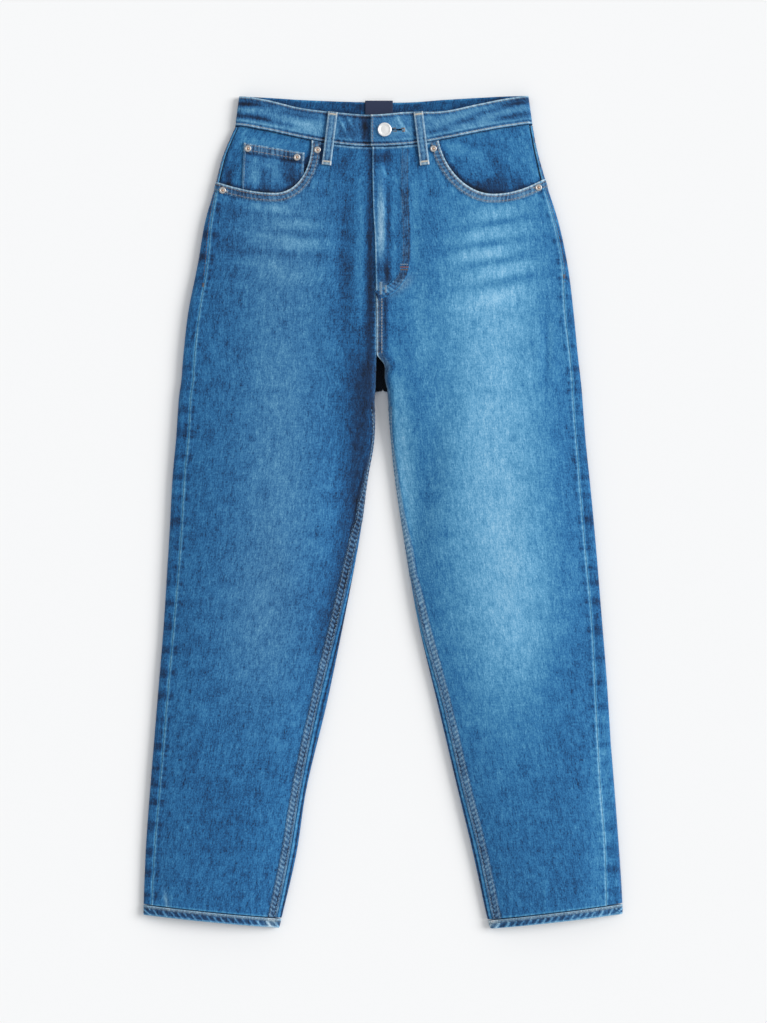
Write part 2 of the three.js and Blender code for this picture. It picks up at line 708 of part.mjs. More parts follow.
// The keyhole buttonhole, cut through the band's left end
function keyholePrisms() {
  const eye = new THREE.CylinderGeometry(EYE_RADIUS, EYE_RADIUS, KEYHOLE_DEPTH, EYE_SIDES);
  eye.rotateX(Math.PI / 2);
  const slit = new THREE.BoxGeometry(SLIT.end - BUTTON_X, SLIT.width, KEYHOLE_DEPTH);
  slit.translate((SLIT.end - BUTTON_X) / 2, 0, 0);
  const z = bandTopAt("left", BUTTON_X) - BAND_CLOTH / 2;
  return [eye, slit].map((geometry) => {
    geometry.translate(BUTTON_X, -BUTTON_DOWN, z);
    geometry.deleteAttribute("normal");
    geometry.deleteAttribute("uv");
    return toSolid(geometry);
  });
}

// The height of the band's upper face in front, at the fly
function bandTopAt(half, x) {
  const row = rowAt(half, 0);
  return bandHeightAt(half, Math.abs(x - row.outX)) + bandLap(half, x) + BAND_CLOTH / 2;
}

// Small pieces

// A round domed cap with its flat face at z = 0, turned about Z, with a shank below it where one is given
function capGeometry(radius, height, sides, shank = null) {
  const rim = [radius, height * 0.45];
  const shoulder = [radius * 0.86, height * 0.85];
  const crown = [radius * 0.5, height];
  const foot = shank ? [[0, -shank.length], [shank.radius, -shank.length], [shank.radius, 0]] : [[0, 0]];
  const profile = [...foot, [radius, 0], rim, shoulder, crown, [0, height]];
  const points = profile.map(([r, z]) => new THREE.Vector2(r, z));
  const geometry = new THREE.LatheGeometry(points, sides);
  geometry.rotateX(Math.PI / 2);
  geometry.deleteAttribute("normal");
  geometry.deleteAttribute("uv");
  return geometry;
}

function addRivet(name, surface, clearance) {
  const rivet = add(name, capGeometry(RIVET_RADIUS, RIVET_HEIGHT, RIVET_SIDES), METAL);
  rivet.position.copy(surface.position).addScaledVector(surface.normal, clearance + RIVET_GAP);
  rivet.quaternion.setFromUnitVectors(new THREE.Vector3(0, 0, 1), surface.normal);
}

function addFrontLoop(name, [top, bottom]) {
  const half = top[0] < 0 ? "right" : "left";
  const across = new THREE.Vector2(bottom[0] - top[0], bottom[1] - top[1]).normalize();
  const grid = steps(LOOP_STEPS).map((f) => {
    const x = lerp(top[0], bottom[0], f);
    const down = lerp(top[1], bottom[1], f);
    const drop = ((BAND_CLOTH - CLOTH) / 2) * smoothstep(f, 0.7, 1);
    const rise = BAND_CLOTH / 2 + GAP + LOOP_CLOTH / 2 + LOOP_BOW * Math.sin(Math.PI * f) - drop;
    return [-1, 1].map((side) => {
      const pointX = x + (side * across.y * LOOP_WIDTH) / 2;
      const pointDown = down - (side * across.x * LOOP_WIDTH) / 2;
      const z = frontSurface(half, pointX, pointDown).position.z + rise;
      return { position: new THREE.Vector3(pointX, -pointDown, z), normal: new THREE.Vector3(0, 0, 1) };
    });
  });
  add(name, wall(grid, LOOP_CLOTH));
}

function addCoinPocket() {
  const [topOuter, topInner, bottomInner, bottomOuter] = COIN_CORNERS;
  const rise = FACING_CLOTH / 2 + GAP + COIN_CLOTH / 2 - FACING_DEPTH;
  const grid = steps(COIN_STEPS).map((f) =>
    steps(COIN_STEPS).map((g) => {
      const x = lerp(lerp(topOuter[0], topInner[0], g), lerp(bottomOuter[0], bottomInner[0], g), f);
      const down = lerp(lerp(topOuter[1], topInner[1], g), lerp(bottomOuter[1], bottomInner[1], g), f);
      const point = frontSurface("right", x, down);
      point.position.addScaledVector(point.normal, rise);
      return point;
    }),
  );
  const pocket = toSolid(wall(grid, COIN_CLOTH)).intersect(toSolid(openingPrism("right", GAP)));
  add("coin_pocket", toGeometry(pocket));
}

function addFlyZip() {
  const depth = CLOTH / 2 + GAP + ZIP.cloth / 2;
  const grid = steps(ZIP.stepsAlong).map((f) => {
    const down = lerp(ZIP.top, ZIP.bottom, f);
    const edgeX = flyEdgeX(down);
    return steps(ZIP.stepsAcross).map((g) => {
      const x = edgeX + lerp(-ZIP.before, ZIP.after, g);
      const z = frontSurface("right", Math.min(x, edgeX), down).position.z - depth;
      return { position: new THREE.Vector3(x, -down, z), normal: new THREE.Vector3(0, 0, 1) };
    });
  });
  add("fly_zip", wall(grid, ZIP.cloth));
}

// X of the fly edge at a distance down
function flyEdgeX(wanted) {
  const points = PLAN.right.map(([, , x, down]) => ({ x, down }));
  const after = points.findIndex(({ down }) => down >= wanted);
  const [a, b] = [points[after - 1], points[after]];
  return lerp(a.x, b.x, (wanted - a.down) / (b.down - a.down));
}

function addBackPocket(name, side) {
  const { top, width, side: straight, point, baseWidth, centreX } = POCKET;
  const x = side * centreX;
  const outline = [
    [x - width / 2, top],
    [x - baseWidth / 2, top + straight],
    [x, top + point],
    [x + baseWidth / 2, top + straight],
    [x + width / 2, top],
  ];
  add(name, prism(outline, 0, PATCH_CLOTH));
}

function addLabel() {
  const label = add("label", new THREE.BoxGeometry(LABEL.width, LABEL.length, LABEL.cloth), NAVY);
  label.position.set(LABEL.x, -LABEL.down, SEAT_LIFT + BAND_CLOTH + GAP + LABEL.cloth / 2);
}

// Assembly

function rowsOf(lineFunction, half, from, to) {
  return places(from, to).map((rowPlace) => lineFunction(half, rowPlace));
}

for (const half of ["right", "left"]) {
  const yokeGap = gapInRows(YOKE_ROW);
  const hemGap = gapInRows(HEM_ROW);
  const wholeFront = toSolid(wall(rowsOf(frontLine, half, 0, HEM_ROW), CLOTH));
  add(`front_${half}`, toGeometry(wholeFront.subtract(toSolid(openingPrism(half, 0)))));
  add(`back_${half}`, wall(rowsOf(backLine, half, YOKE_ROW + yokeGap, HEM_ROW), CLOTH));
  add(`yoke_${half}`, wall(rowsOf(backLine, half, 0, YOKE_ROW - yokeGap), CLOTH));
  add(`facing_${half}`, wall(rowsOf(facingLine, half, 0, FACING_ROWS_END), FACING_CLOTH));
  add(`hem_${half}`, wall(rowsOf(hemLine, half, HEM_ROW + 2 * hemGap, LAST_ROW), HEM_CLOTH, true));
  addBackPocket(`back_pocket_${half}`, half === "right" ? -1 : 1);
}

const [eye, slit] = keyholePrisms();
const band = toSolid(wall(steps(BAND_ROWS).map((v) => bandLine(v)), BAND_CLOTH));
add("waistband", toGeometry(band.subtract(eye).subtract(slit)));

for (const [name, centreLine] of Object.entries(FRONT_LOOPS)) addFrontLoop(name, centreLine);
for (const [name, [x, down]] of Object.entries(BACK_LOOPS)) {
  const loop = add(name, new THREE.BoxGeometry(LOOP_WIDTH, BACK_LOOP_LENGTH, PATCH_CLOTH));
  loop.position.set(x, -down - BACK_LOOP_LENGTH / 2, PATCH_CLOTH / 2);
}

addCoinPocket();
addFlyZip();
addLabel();

// The button's shank runs from the band's right end through the buttonhole in its left end
const shank = { radius: SHANK_RADIUS, length: bandTopAt("left", BUTTON_X) - bandTopAt("right", BUTTON_X) };
const button = add("button", capGeometry(BUTTON_RADIUS, BUTTON_CAP, BUTTON_SIDES, shank), METAL);
button.position.set(BUTTON_X, -BUTTON_DOWN, bandTopAt("left", BUTTON_X) + GAP);

for (const [name, [x, down]] of Object.entries(RIVETS_ON_COIN)) {
  const surface = frontSurface("right", x, down);
  addRivet(name, surface, FACING_CLOTH / 2 + GAP + COIN_CLOTH - FACING_DEPTH);
}
for (const [name, [half, x, down]] of Object.entries(RIVETS_ON_FRONT)) {
  addRivet(name, frontSurface(half, x, down), CLOTH / 2);
}

export default jeans;
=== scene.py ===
"""High-waisted tapered jeans laid flat on their back, seen from straight above, in washed mid-blue denim.

Tables and sizes are in millimetres and made into metres when a mesh is built. X is across, "down" is the
distance below the highest point of the waist, and Z is up. "Right" and "left" are the wearer's."""

import math

import bpy
import numpy as np
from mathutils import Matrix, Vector
from mathutils.bvhtree import BVHTree


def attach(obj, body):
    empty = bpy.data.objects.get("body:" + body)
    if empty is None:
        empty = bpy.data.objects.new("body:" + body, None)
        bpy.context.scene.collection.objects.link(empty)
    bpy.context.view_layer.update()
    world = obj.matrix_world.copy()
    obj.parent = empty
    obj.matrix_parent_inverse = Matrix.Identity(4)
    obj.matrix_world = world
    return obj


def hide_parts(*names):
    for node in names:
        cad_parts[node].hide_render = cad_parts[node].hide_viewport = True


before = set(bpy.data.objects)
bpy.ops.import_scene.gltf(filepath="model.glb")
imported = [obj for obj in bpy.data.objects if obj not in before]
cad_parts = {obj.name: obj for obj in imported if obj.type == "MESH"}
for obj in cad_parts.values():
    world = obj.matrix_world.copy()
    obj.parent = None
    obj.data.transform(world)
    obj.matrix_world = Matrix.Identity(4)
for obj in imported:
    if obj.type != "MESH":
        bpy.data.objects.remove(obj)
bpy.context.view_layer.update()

# Sizes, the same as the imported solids'

MM = 0.001
CENTRE_DOWN = 509.6
CLOTH = 1.5
BAND_CLOTH = 2.5
HEM_CLOTH = 3.0
FACING_CLOTH = 1.2
COIN_CLOTH = 1.0
LOOP_CLOTH = 1.5
GAP = 0.3
SEAT_SEAM = 0.02  # half of the seat seam's gap, closer than the solids' so that no floor shows through it
FOLD_RUN = 10.0
LEAD = 4.0
PATCH_CLOTH = 1.3
SEAT_LIFT = PATCH_CLOTH + GAP

# The plan of each half in rows from waist to hem: outer silhouette X and down, then inner X and down
PLAN = {
    "right": [
        (-181, 37, -13, 64),
        (-196, 74, -13, 95),
        (-207, 117, -12, 141),
        (-218, 156, -10, 175),
        (-227, 208, -9, 220),
        (-238, 263, -8, 269),
        (-244, 314, -8, 319),
        (-247, 348, -9, 355),
        (-250, 370, -10, 373),
        (-254, 422, -11, 422),
        (-258, 470, -19, 470),
        (-262, 544, -29, 544),
        (-268, 641, -48, 644),
        (-276, 739, -69, 745),
        (-284, 836, -93, 845),
        (-290, 916, -106, 928),
        (-293, 989, -124, 1006),
        (-293, 1002, -127, 1018),
    ],
    "left": [
        (183, 35, -13, 64),
        (189, 68, -13, 95),
        (201, 111, -12, 141),
        (215, 156, -10, 175),
        (226, 208, -9, 220),
        (233, 263, -8, 269),
        (238, 314, -8, 319),
        (242, 348, 4, 355),
        (244, 370, 6, 373),
        (248, 422, 10, 422),
        (253, 470, 15, 470),
        (260, 544, 26, 544),
        (268, 641, 43, 644),
        (276, 739, 67, 745),
        (283, 836, 90, 843),
        (289, 916, 109, 922),
        (293, 988, 128, 1008),
        (293, 1001, 133, 1019),
    ],
}

# The section of each row. Seam columns are distances in from the silhouette, positive on top.
SECTION_COLUMNS = (
    "back_down height edge out_right out_left in_right in_left lift front_roll back_roll arch_roll".split()
)
SECTIONS = [
    (47, 15, 9, 3, 3, -1, -1, SEAT_LIFT, 0, 0, 0),
    (90, 17, 9.5, 3, 3, -1, -1, SEAT_LIFT, 0, 0, 0),
    (133, 20, 10, 4, 5, -1, -1, SEAT_LIFT, 0, 0, 0),
    (178, 22, 10.5, 8, 6, -1, -1, SEAT_LIFT, 0, 0, 0),
    (222, 24, 11, 12, 7, -1, -1, SEAT_LIFT, 0, 0, 0.05),
    (270, 25, 11.5, 14, 11, -1, -1, SEAT_LIFT, 0, 0, 0.15),
    (320, 25, 11.5, 14, 10, -1, -1, SEAT_LIFT, 0, 0, 0.35),
    (358, 25, 11.5, 15, 11, -1, -1, 0, 1, 0, 0.55),
    (374, 25, 11.5, 15, 12, -1, -1, 0, 1, 1, 0.65),
    (422, 25, 11.5, 16, 12, -3, -3, 0, 1, 1, 0.9),
    (470, 24.5, 11, 15, 13, -2, -3, 0, 1, 1, 1),
    (544, 24, 11, 15, 14, 2, -1, 0, 1, 1, 1),
    (642, 22, 10.5, 13, 13, 6, 3, 0, 1, 1, 1),
    (742, 20, 10, 12, 16, 10, 6, 0, 1, 1, 1),
    (840, 19, 10, 12, 18, 7, 6, 0, 1, 1, 1),
    (920, 18, 9.5, 11, 18, 8, 7, 0, 1, 1, 1),
    (1000, 17, 9, 10, 20, 6, 6, 0, 1, 1, 1),
    (1012, 17, 9, 10, 20, 6, 6, 0, 1, 1, 1),
]
YOKE_ROW = 2
CROTCH_ROW = 6
HEM_ROW = 16
LAST_ROW = 17
CROTCH_CORNER = 5.5  # how far the left panel's curve at the crotch turns out past the plan's rows

# The waistband's edges by X: how far down its top and bottom lie in front and behind
BAND_COLUMNS = ("x", "front_top", "front_bottom", "back_top", "back_bottom")
BAND = [
    (-181, 0.7, 37, 0.7, 39),
    (-150, 4.4, 42, 2, 42),
    (-101, 16, 52.6, 5, 44.7),
    (-52, 22, 61, 7, 46.5),
    (-13, 24.5, 63.5, 8, 47),
    (33, 21, 61, 8, 47),
    (74, 20, 54.4, 5, 46),
    (122, 10, 44.7, 2.2, 43.4),
    (161, 2.6, 38, 0.4, 40),
    (183, 0.2, 35, 0.2, 37),
]
BAND_TOP_X = {"right": -176, "left": 178}
BAND_BOTTOM_X = {"right": -181, "left": 183}
BAND_LAP_END_X = -15
BAND_MIDDLE = 400  # along the band from its right end, near the middle of the back
BAND_UNDER_END_X = 16
BAND_RAISE = 1.6
BAND_LOWER = BAND_CLOTH + GAP - BAND_RAISE
BAND_RAISE_FADE = (19, 33)
BAND_LOWER_FADE = (-35, -18)

FLY_UNDERLAP = 10
FLY_UNDERLAP_FADE = (222, 240)
FLY_RAISE_FADE = (246, 290)
FLY_RAISE_ACROSS = (12, 26)
FLY_RAISE = CLOTH + GAP

# The fine strips on the panels, for the pocket edges, the inner seams and the J of the fly
STRIP_CLOTH = 0.3
STRIP_LIFT = CLOTH / 2 + 0.3
INSEAM_TOP_ROW, INSEAM_WIDTH = 8.2, 10.2

# The large soft folds of the solids: X, down, turn in degrees, half length, half width, rise
FOLDS = [
    (-46, 200, 92, 90, 14, -1.8),
    (36, 190, 88, 70, 12, -1.2),
    (-52, 455, 80, 120, 22, -2.2),
    (52, 470, 100, 110, 20, -1.6),
    (199, 312, 92, 42, 5, -1.1),
    (-140, 192, -8, 50, 10, 1.0),
    (-132, 228, -8, 52, 10, 0.9),
    (120, 188, 8, 48, 10, 1.0),
    (126, 224, 8, 52, 10, 0.9),
    (-170, 690, 6, 70, 22, -1.2),
    (182, 700, -6, 70, 22, -1.2),
]

# Creases of the soft cloth that the solids leave out: X, down, turn in degrees, half length, half width, rise
CREASES = [
    (26, 32, 55, 9, 2.2, 0.7),
    (-48, 40, 66, 15, 2.4, 0.8),
    (-41, 33, 66, 8, 2.0, 0.6),
    (80, 36, -6, 26, 2.6, 0.7),
    (150, 22, -8, 18, 3.0, 0.6),
    (-152, 24, 8, 20, 3.0, 0.6),
    (-186, 98, 84, 16, 4.0, -1.2),
    (-70, 112, 84, 26, 6.0, -1.0),
    (56, 110, 96, 26, 6.0, -0.9),
    (-150, 250, -10, 44, 7.0, 0.5),
    (132, 256, 10, 44, 7.0, 0.5),
    (-265, 982, 84, 14, 4.0, -0.9),
    (198, 978, 90, 24, 3.0, 0.6),
    (-120, 560, 74, 90, 16, 0.7),
    (170, 560, 100, 90, 16, 0.7),
]

# Pocket openings: seven control points of two cubic Bezier stretches from the waist to the side
SCOOP = {
    "right": [(-87.5, 52), (-85, 84), (-101, 120), (-132, 120), (-154, 120), (-176, 115), (-206, 105)],
    "left": [(67, 50), (72, 88), (101, 121), (134, 121), (156, 121), (174, 115), (199, 101)],
}
SCOOP_TAIL = 30  # steps that each end of the line is drawn out by, past the panel's edge
FACING_INNER_X = {"right": -70, "left": 50}
FACING_ROWS_END = 2.5
FACING_EDGE_GAP = 1.2
FACING_DEPTH = CLOTH / 2 + GAP + FACING_CLOTH / 2
J_LINE = [(27, 66), (26, 109), (29, 185), (27, 217), (12, 238), (-8, 246)]
# From the mouth's outer corner round to the lower outer one
COIN_CORNERS = np.array(((-170, 58), (-96, 71), (-98, 124), (-173, 124)), float)

LOOP_WIDTH = 11.5
BAR_STEP = 1.5
FRONT_LOOPS = {"loop_front_right": ((-61, 21), (-69, 86)), "loop_front_left": ((43, 21), (51, 86))}
BACK_LOOP_LENGTH = 58
BACK_LOOPS = {"loop_back_right": (-112, 6), "loop_back_middle": (0, 10), "loop_back_left": (114, 4)}
POCKET_TOP, POCKET_WIDTH, POCKET_SIDE, POCKET_POINT = 150, 146, 125, 150
POCKET_BASE_WIDTH, POCKET_CENTRE_X = 122, 98

BUTTON_X, BUTTON_DOWN = 2, 43
EYE_RADIUS, SLIT_END, SLIT_WIDTH = 2.9, 24, 1.8

HALVES = ("right", "left")
INWARD = {"right": 1, "left": -1}  # the way along X from each half's outer side
UP, DOWN = (0.0, 0.0, 1.0), (0.0, 0.0, -1.0)
FAR = 1e9

CELL = 2.5  # of the fine cloth's grid
NEAR_CUT = 0.12 * CELL  # a point this close to a cut's edge counts as on it


# Interpolation and noise


def smoothstep(x, low, high):
    t = np.clip((x - low) / (high - low), 0, 1)
    return t * t * (3 - 2 * t)


def bell(x, middle, width):
    return np.exp(-(((x - middle) / width) ** 2))


def column_at(values, place, first, last):
    """A smooth value of a table's column at row numbers that may be fractional."""
    values = np.asarray(values, float)
    place = np.asarray(place, float)
    i = np.clip(np.floor(place), first, last - 1).astype(int)
    f = place - i
    before, start = values[np.maximum(i - 1, first)], values[i]
    end, after = values[i + 1], values[np.minimum(i + 2, last)]
    slope = (end - before) * f
    bend = (2 * before - 5 * start + 4 * end - after) * f * f
    twist = (3 * start - before - 3 * end + after) * f**3
    return start + (slope + bend + twist) / 2


def noise(x, y, seed=0):
    """Smooth value noise from -1 to 1, one lattice cell to a unit."""
    x, y = np.broadcast_arrays(np.asarray(x, float), np.asarray(y, float))
    x0, y0 = np.floor(x), np.floor(y)
    fx, fy = x - x0, y - y0
    fx, fy = fx * fx * (3 - 2 * fx), fy * fy * (3 - 2 * fy)

    def corner(dx, dy):
        ix = (x0 + dx).astype(np.int64)
        iy = (y0 + dy).astype(np.int64)
        h = (ix * 374761393 + iy * 668265263 + seed * 144269504) & 0xFFFFFFFF
        h = ((h ^ (h >> 13)) * 1274126177) & 0xFFFFFFFF
        return ((h ^ (h >> 16)) & 0xFFFF) / 32767.5 - 1

    low = corner(0, 0) * (1 - fx) + corner(1, 0) * fx
    high = corner(0, 1) * (1 - fx) + corner(1, 1) * fx
    return low * (1 - fy) + high * fy


def pucker(along, period, seed):
    """Uneven gathers along a seam, from -1 to 1."""
    shift = 0.45 * noise(along / (2.3 * period), 0.5, seed)
    size = 0.65 + 0.35 * noise(along / (3.1 * period), 7.5, seed)
    return np.sin(2 * math.pi * (along / period + shift)) * size


# Rows and the form of the cloth


def rows_at(half, place):
    """The rows of one half at row numbers, as arrays with one value for each row."""
    place = np.asarray(place, float)
    plan = np.array(PLAN[half], float)
    row = {"half": half, "place": place}
    for column, name in enumerate(("out_x", "out_down", "in_x", "in_down")):
        values = plan[:, column]
        if name.startswith("in"):
            upper = column_at(values, np.minimum(place, CROTCH_ROW), 0, CROTCH_ROW)
            lower = column_at(values, np.maximum(place, CROTCH_ROW), CROTCH_ROW, LAST_ROW)
            row[name] = np.where(place <= CROTCH_ROW, upper, lower)
        else:
            row[name] = column_at(values, place, 0, LAST_ROW)
    sections = np.array(SECTIONS, float)
    for column, name in enumerate(SECTION_COLUMNS):
        row[name] = column_at(sections[:, column], place, 0, LAST_ROW)
    for name in ("front_roll", "back_roll", "arch_roll"):
        row[name] = np.clip(row[name], 0, 1)
    row["lift"] = np.clip(row["lift"], 0, SEAT_LIFT)
    if half == "left":
        row["in_x"] = row["in_x"] + CROTCH_CORNER * bell(place, CROTCH_ROW + 0.38, 0.26)
    row["out_seam"] = row["out_" + half]
    row["in_seam"] = row["in_" + half]
    set_width(row, row["in_x"], row["in_down"])
    return row


def set_width(row, in_x, in_down):
    across_x, across_down = in_x - row["out_x"], in_down - row["out_down"]
    row["width"] = np.hypot(across_x, across_down)
    row["along_x"], row["along_down"] = across_x / row["width"], across_down / row["width"]


def band_at(name, x):
    xs = [line[0] for line in BAND]
    values = [line[BAND_COLUMNS.index(name)] for line in BAND]
    place = np.interp(x, xs, range(len(xs)))
    return column_at(values, place, 0, len(xs) - 1)


def bumps_at(x, down, table):
    """The sum of soft oval bumps: X, down, turn in degrees, half length, half width and middle height."""
    total = np.zeros(np.broadcast(x, down).shape)
    for middle_x, middle_down, turn, length, width, height in table:
        cos, sin = math.cos(math.radians(turn)), math.sin(math.radians(turn))
        u = (x - middle_x) * cos + (down - middle_down) * sin
        v = (down - middle_down) * cos - (x - middle_x) * sin
        total = total + height * np.exp(-((u / length) ** 2) - (v / width) ** 2)
    return total


def creases_at(x, down):
    uneven = 0.3 * noise(x / 46, down / 60, 3) + 0.12 * noise(x / 17, down / 21, 4)
    return bumps_at(x, down, CREASES) + uneven


def arch_at(row, across):
    run = row["width"] - FOLD_RUN * (1 + row["arch_roll"])
    t = np.clip((across - FOLD_RUN) / run, 0, 1)
    wave = np.sin((math.pi / 2) * (1 + row["arch_roll"]) * t)
    return row["edge"] + (row["height"] - row["edge"]) * wave * (3 - wave) / 2


def quarter_arc(row, thickness):
    run = FOLD_RUN - thickness / 2
    rise = (row["edge"] - thickness / 2 - row["lift"]) / 2
    return (math.pi / 2) * np.sqrt((run * run + rise * rise) / 2)


def arc_of(row, across, thickness):
    quarter = quarter_arc(row, thickness)
    distance = np.abs(across)
    sine = np.clip((FOLD_RUN - distance) / (FOLD_RUN - thickness / 2), 0, 1)
    near = quarter * (1 - np.arcsin(sine) / (math.pi / 2))
    return np.sign(across) * np.where(distance >= FOLD_RUN, quarter + distance - FOLD_RUN, near)


def fold_point(row, arc, thickness, arch_height, fold_top=None):
    """A section's point at an arc from a silhouette: distance in, height, normal and how far it is on top."""
    fold_top = row["edge"] if fold_top is None else fold_top
    low = thickness / 2 + row["lift"]
    quarter = quarter_arc(row, thickness)
    run, rise = FOLD_RUN - thickness / 2, (fold_top - low) / 2
    angle = (math.pi / 2) * (1 - np.clip(arc / quarter, -1, 1))
    size = np.hypot(np.sin(angle) * rise, np.cos(angle) * run)
    above, below = arc >= quarter, arc <= -quarter
    across = np.where(above, FOLD_RUN + arc - quarter, FOLD_RUN - run * np.sin(angle))
    across = np.where(below, FOLD_RUN - arc - quarter, across)
    z = np.where(above, arch_height, (fold_top + low) / 2 + rise * np.cos(angle))
    return {
        "across": across,
        "z": np.where(below, low, z),
        "normal_across": np.where(above | below, 0, -np.sin(angle) * rise / size),
        "normal_z": np.where(above, 1, np.where(below, -1, np.cos(angle) * run / size)),
        "top": np.where(above, 1, np.where(below, 0, np.maximum(np.cos(angle), 0))),
    }


def outer_fold(row, arc, thickness):
    """The section from the outer silhouette."""
    return fold_point(row, arc, thickness, arch_at(row, FOLD_RUN + arc - quarter_arc(row, thickness)))


def inner_fold(row, arc, thickness):
    """The section from the inner silhouette, where the top layer meets the fold at the arch's own height."""
    height = arch_at(row, row["width"] - (FOLD_RUN + arc - quarter_arc(row, thickness)))
    return fold_point(row, arc, thickness, height, arch_at(row, row["width"] - FOLD_RUN))


def mix_points(a, b, f):
    return {key: a[key] * (1 - f) + b[key] * f for key in a}


def sag_at(row, face, x):
    """How far a row near the waist sags so that the first row runs along the waistband's curved edge."""
    out_x, out_down, in_x, in_down = PLAN[row["half"]][0]
    end_x, end_down = (in_x, in_down) if face == "front" else (0, SECTIONS[0][0])
    straight = out_down + (end_down - out_down) * (x - out_x) / (end_x - out_x)
    return (band_at(face + "_bottom", x) - straight) * np.maximum(1 - row["place"], 0)


def put(row, face, edge, point):
    """Positions and normals in millimetres, for a point measured in from the outer or inner silhouette."""
    turn = 1 if edge == "out" else -1
    along_x, along_down = row["along_x"] * turn, row["along_down"] * turn
    x = row[edge + "_x"] + along_x * point["across"]
    down = row[edge + "_down"] + along_down * point["across"] + sag_at(row, face, x)
    z = point["z"] + (bumps_at(x, down, FOLDS) + creases_at(x, down)) * point["top"]
    lean = point["normal_across"]
    normal = np.stack(np.broadcast_arrays(along_x * lean, -along_down * lean, point["normal_z"]), -1)
    normal = normal / np.linalg.norm(normal, axis=-1, keepdims=True)
    return np.stack(np.broadcast_arrays(x, -down, z), -1), normal


def fine_places(half, first, last, step, ends=()):
    """Row numbers about a step apart down the leg, and more at the distances in ends from both ends."""
    dense = np.linspace(first, last, 600)
    down = rows_at(half, dense)["out_down"]
    even = np.linspace(down[0], down[-1], max(3, round((down[-1] - down[0]) / step)))
    wanted = np.unique(np.concatenate([even, down[0] + np.array(ends), down[-1] - np.array(ends)]))
    return np.interp(wanted, down, dense)


# Grids of each piece: mid-surface points, normals and their distances from the piece's own seams


class Grid:
    """A piece of cloth as a grid or as loose polygons, with named values for each point."""

    def __init__(self, points, normals, ring=False, **values):
        rows, columns = points.shape[:2]
        self.points = points.reshape(-1, 3)
        self.normals = normals.reshape(-1, 3)
        shape = (rows, columns)
        self.values = {key: np.broadcast_to(value, shape).reshape(-1).copy() for key, value in values.items()}
        index = np.arange(rows * columns).reshape(shape)
        after = np.roll(index, -1, axis=1) if ring else index[:, 1:]
        before = index if ring else index[:, :-1]
        self.quads = np.stack([before[:-1], before[1:], after[1:], after[:-1]], -1).reshape(-1, 4)
        self.polygons = []
        first, second, _, fourth = self.quads.T
        base = self.points[first]
        facing = np.cross(self.points[second] - base, self.points[fourth] - base)
        if np.sum(facing * self.normals[first]) < 0:
            self.quads = self.quads[:, ::-1]

    def __getitem__(self, key):
        return self.values[key]

    @property
    def x(self):
        return self.points[:, 0]

    @property
    def down(self):
        return -self.points[:, 1]

    def cut(self, keep):
        """Leaves only what lies where keep is positive."""
        keep = np.where(np.abs(keep) < NEAR_CUT, 0.0, keep)
        inside = keep >= 0
        count = inside[self.quads].sum(axis=1)
        mixed = self.quads[(count > 0) & (count < 4)]
        self.quads = self.quads[count == 4]
        new = {}
        pairs, parts = [], []
        for quad in mixed:
            polygon = []
            for a, b in zip(quad, np.roll(quad, -1)):
                if inside[a]:
                    polygon.append(int(a))
                if inside[a] != inside[b]:
                    start, end = (a, b) if inside[a] else (b, a)
                    if keep[start] == 0:
                        continue
                    if (start, end) not in new:
                        new[start, end] = len(self.points) + len(pairs)
                        pairs.append((start, end))
                        parts.append(keep[start] / (keep[start] - keep[end]))
                    polygon.append(new[start, end])
            if len(polygon) > 2:
                self.polygons.append(polygon)
        if pairs:
            a, b = np.array(pairs).T
            f = np.array(parts)[:, None]
            self.points = np.vstack([self.points, self.points[a] * (1 - f) + self.points[b] * f])
            self.normals = np.vstack([self.normals, self.normals[a] * (1 - f) + self.normals[b] * f])
            for key, value in self.values.items():
                self.values[key] = np.concatenate([value, value[a] * (1 - f[:, 0]) + value[b] * f[:, 0]])


def run_along(points, axis):
    """Distance along a grid of points from its first row or column."""
    step = np.linalg.norm(np.diff(points, axis=axis), axis=-1)
    zero = np.zeros_like(np.take(step, [0], axis=axis))
    return np.concatenate([zero, np.cumsum(step, axis=axis)], axis=axis)


def flat_grid(x, down, z, normal, **values):
    """A grid over plan points whose faces all look one way."""
    points = np.stack(np.broadcast_arrays(x, -down, z), -1)
    return Grid(points, np.broadcast_to(normal, points.shape), **values)


EDGE_STEPS = np.array([0, 0.7, 1.6, 2.6, 4.2, 6, 7.8, 9.4, 10.4, 11.4, 13, 15])


def columns_between(length, middle_step):
    """Distances from 0 to each row's length, finer and parallel to the seams near both ends."""
    edge = EDGE_STEPS
    inner = length - 2 * edge[-1]
    count = max(3, round(float(np.mean(inner)) / middle_step))
    middle = edge[-1] + inner * np.linspace(0, 1, count + 1)[None, 1:-1]
    first = np.broadcast_to(edge[None, :], (len(length), len(edge)))
    return np.concatenate([first, middle, length - first[:, ::-1]], axis=1)


def fly_raise_at(row, from_edge):
    """How far the left panel is raised near its fly edge, where it lies on the right one."""
    if row["half"] == "right":
        return 0
    across = 1 - smoothstep(from_edge, *FLY_RAISE_ACROSS)
    return FLY_RAISE * across * (1 - smoothstep(row["in_down"], *FLY_RAISE_FADE))


def inseam_grid(half):
    """The lapped strip along the inner seam of the leg, on the front panel's edge."""
    row = rows_at(half, fine_places(half, INSEAM_TOP_ROW, HEM_ROW, CELL / 2)[:, None])
    d_in = np.linspace(0.1, INSEAM_WIDTH, 13)[None, :]
    arc = arc_of(row, row["in_seam"], CLOTH) + GAP / 2 + d_in
    points, normals = put(row, "front", "in", inner_fold(row, arc, CLOTH))
    return Grid(points + normals * STRIP_LIFT, normals, d_in=d_in, run=run_along(points, 0), across=d_in)


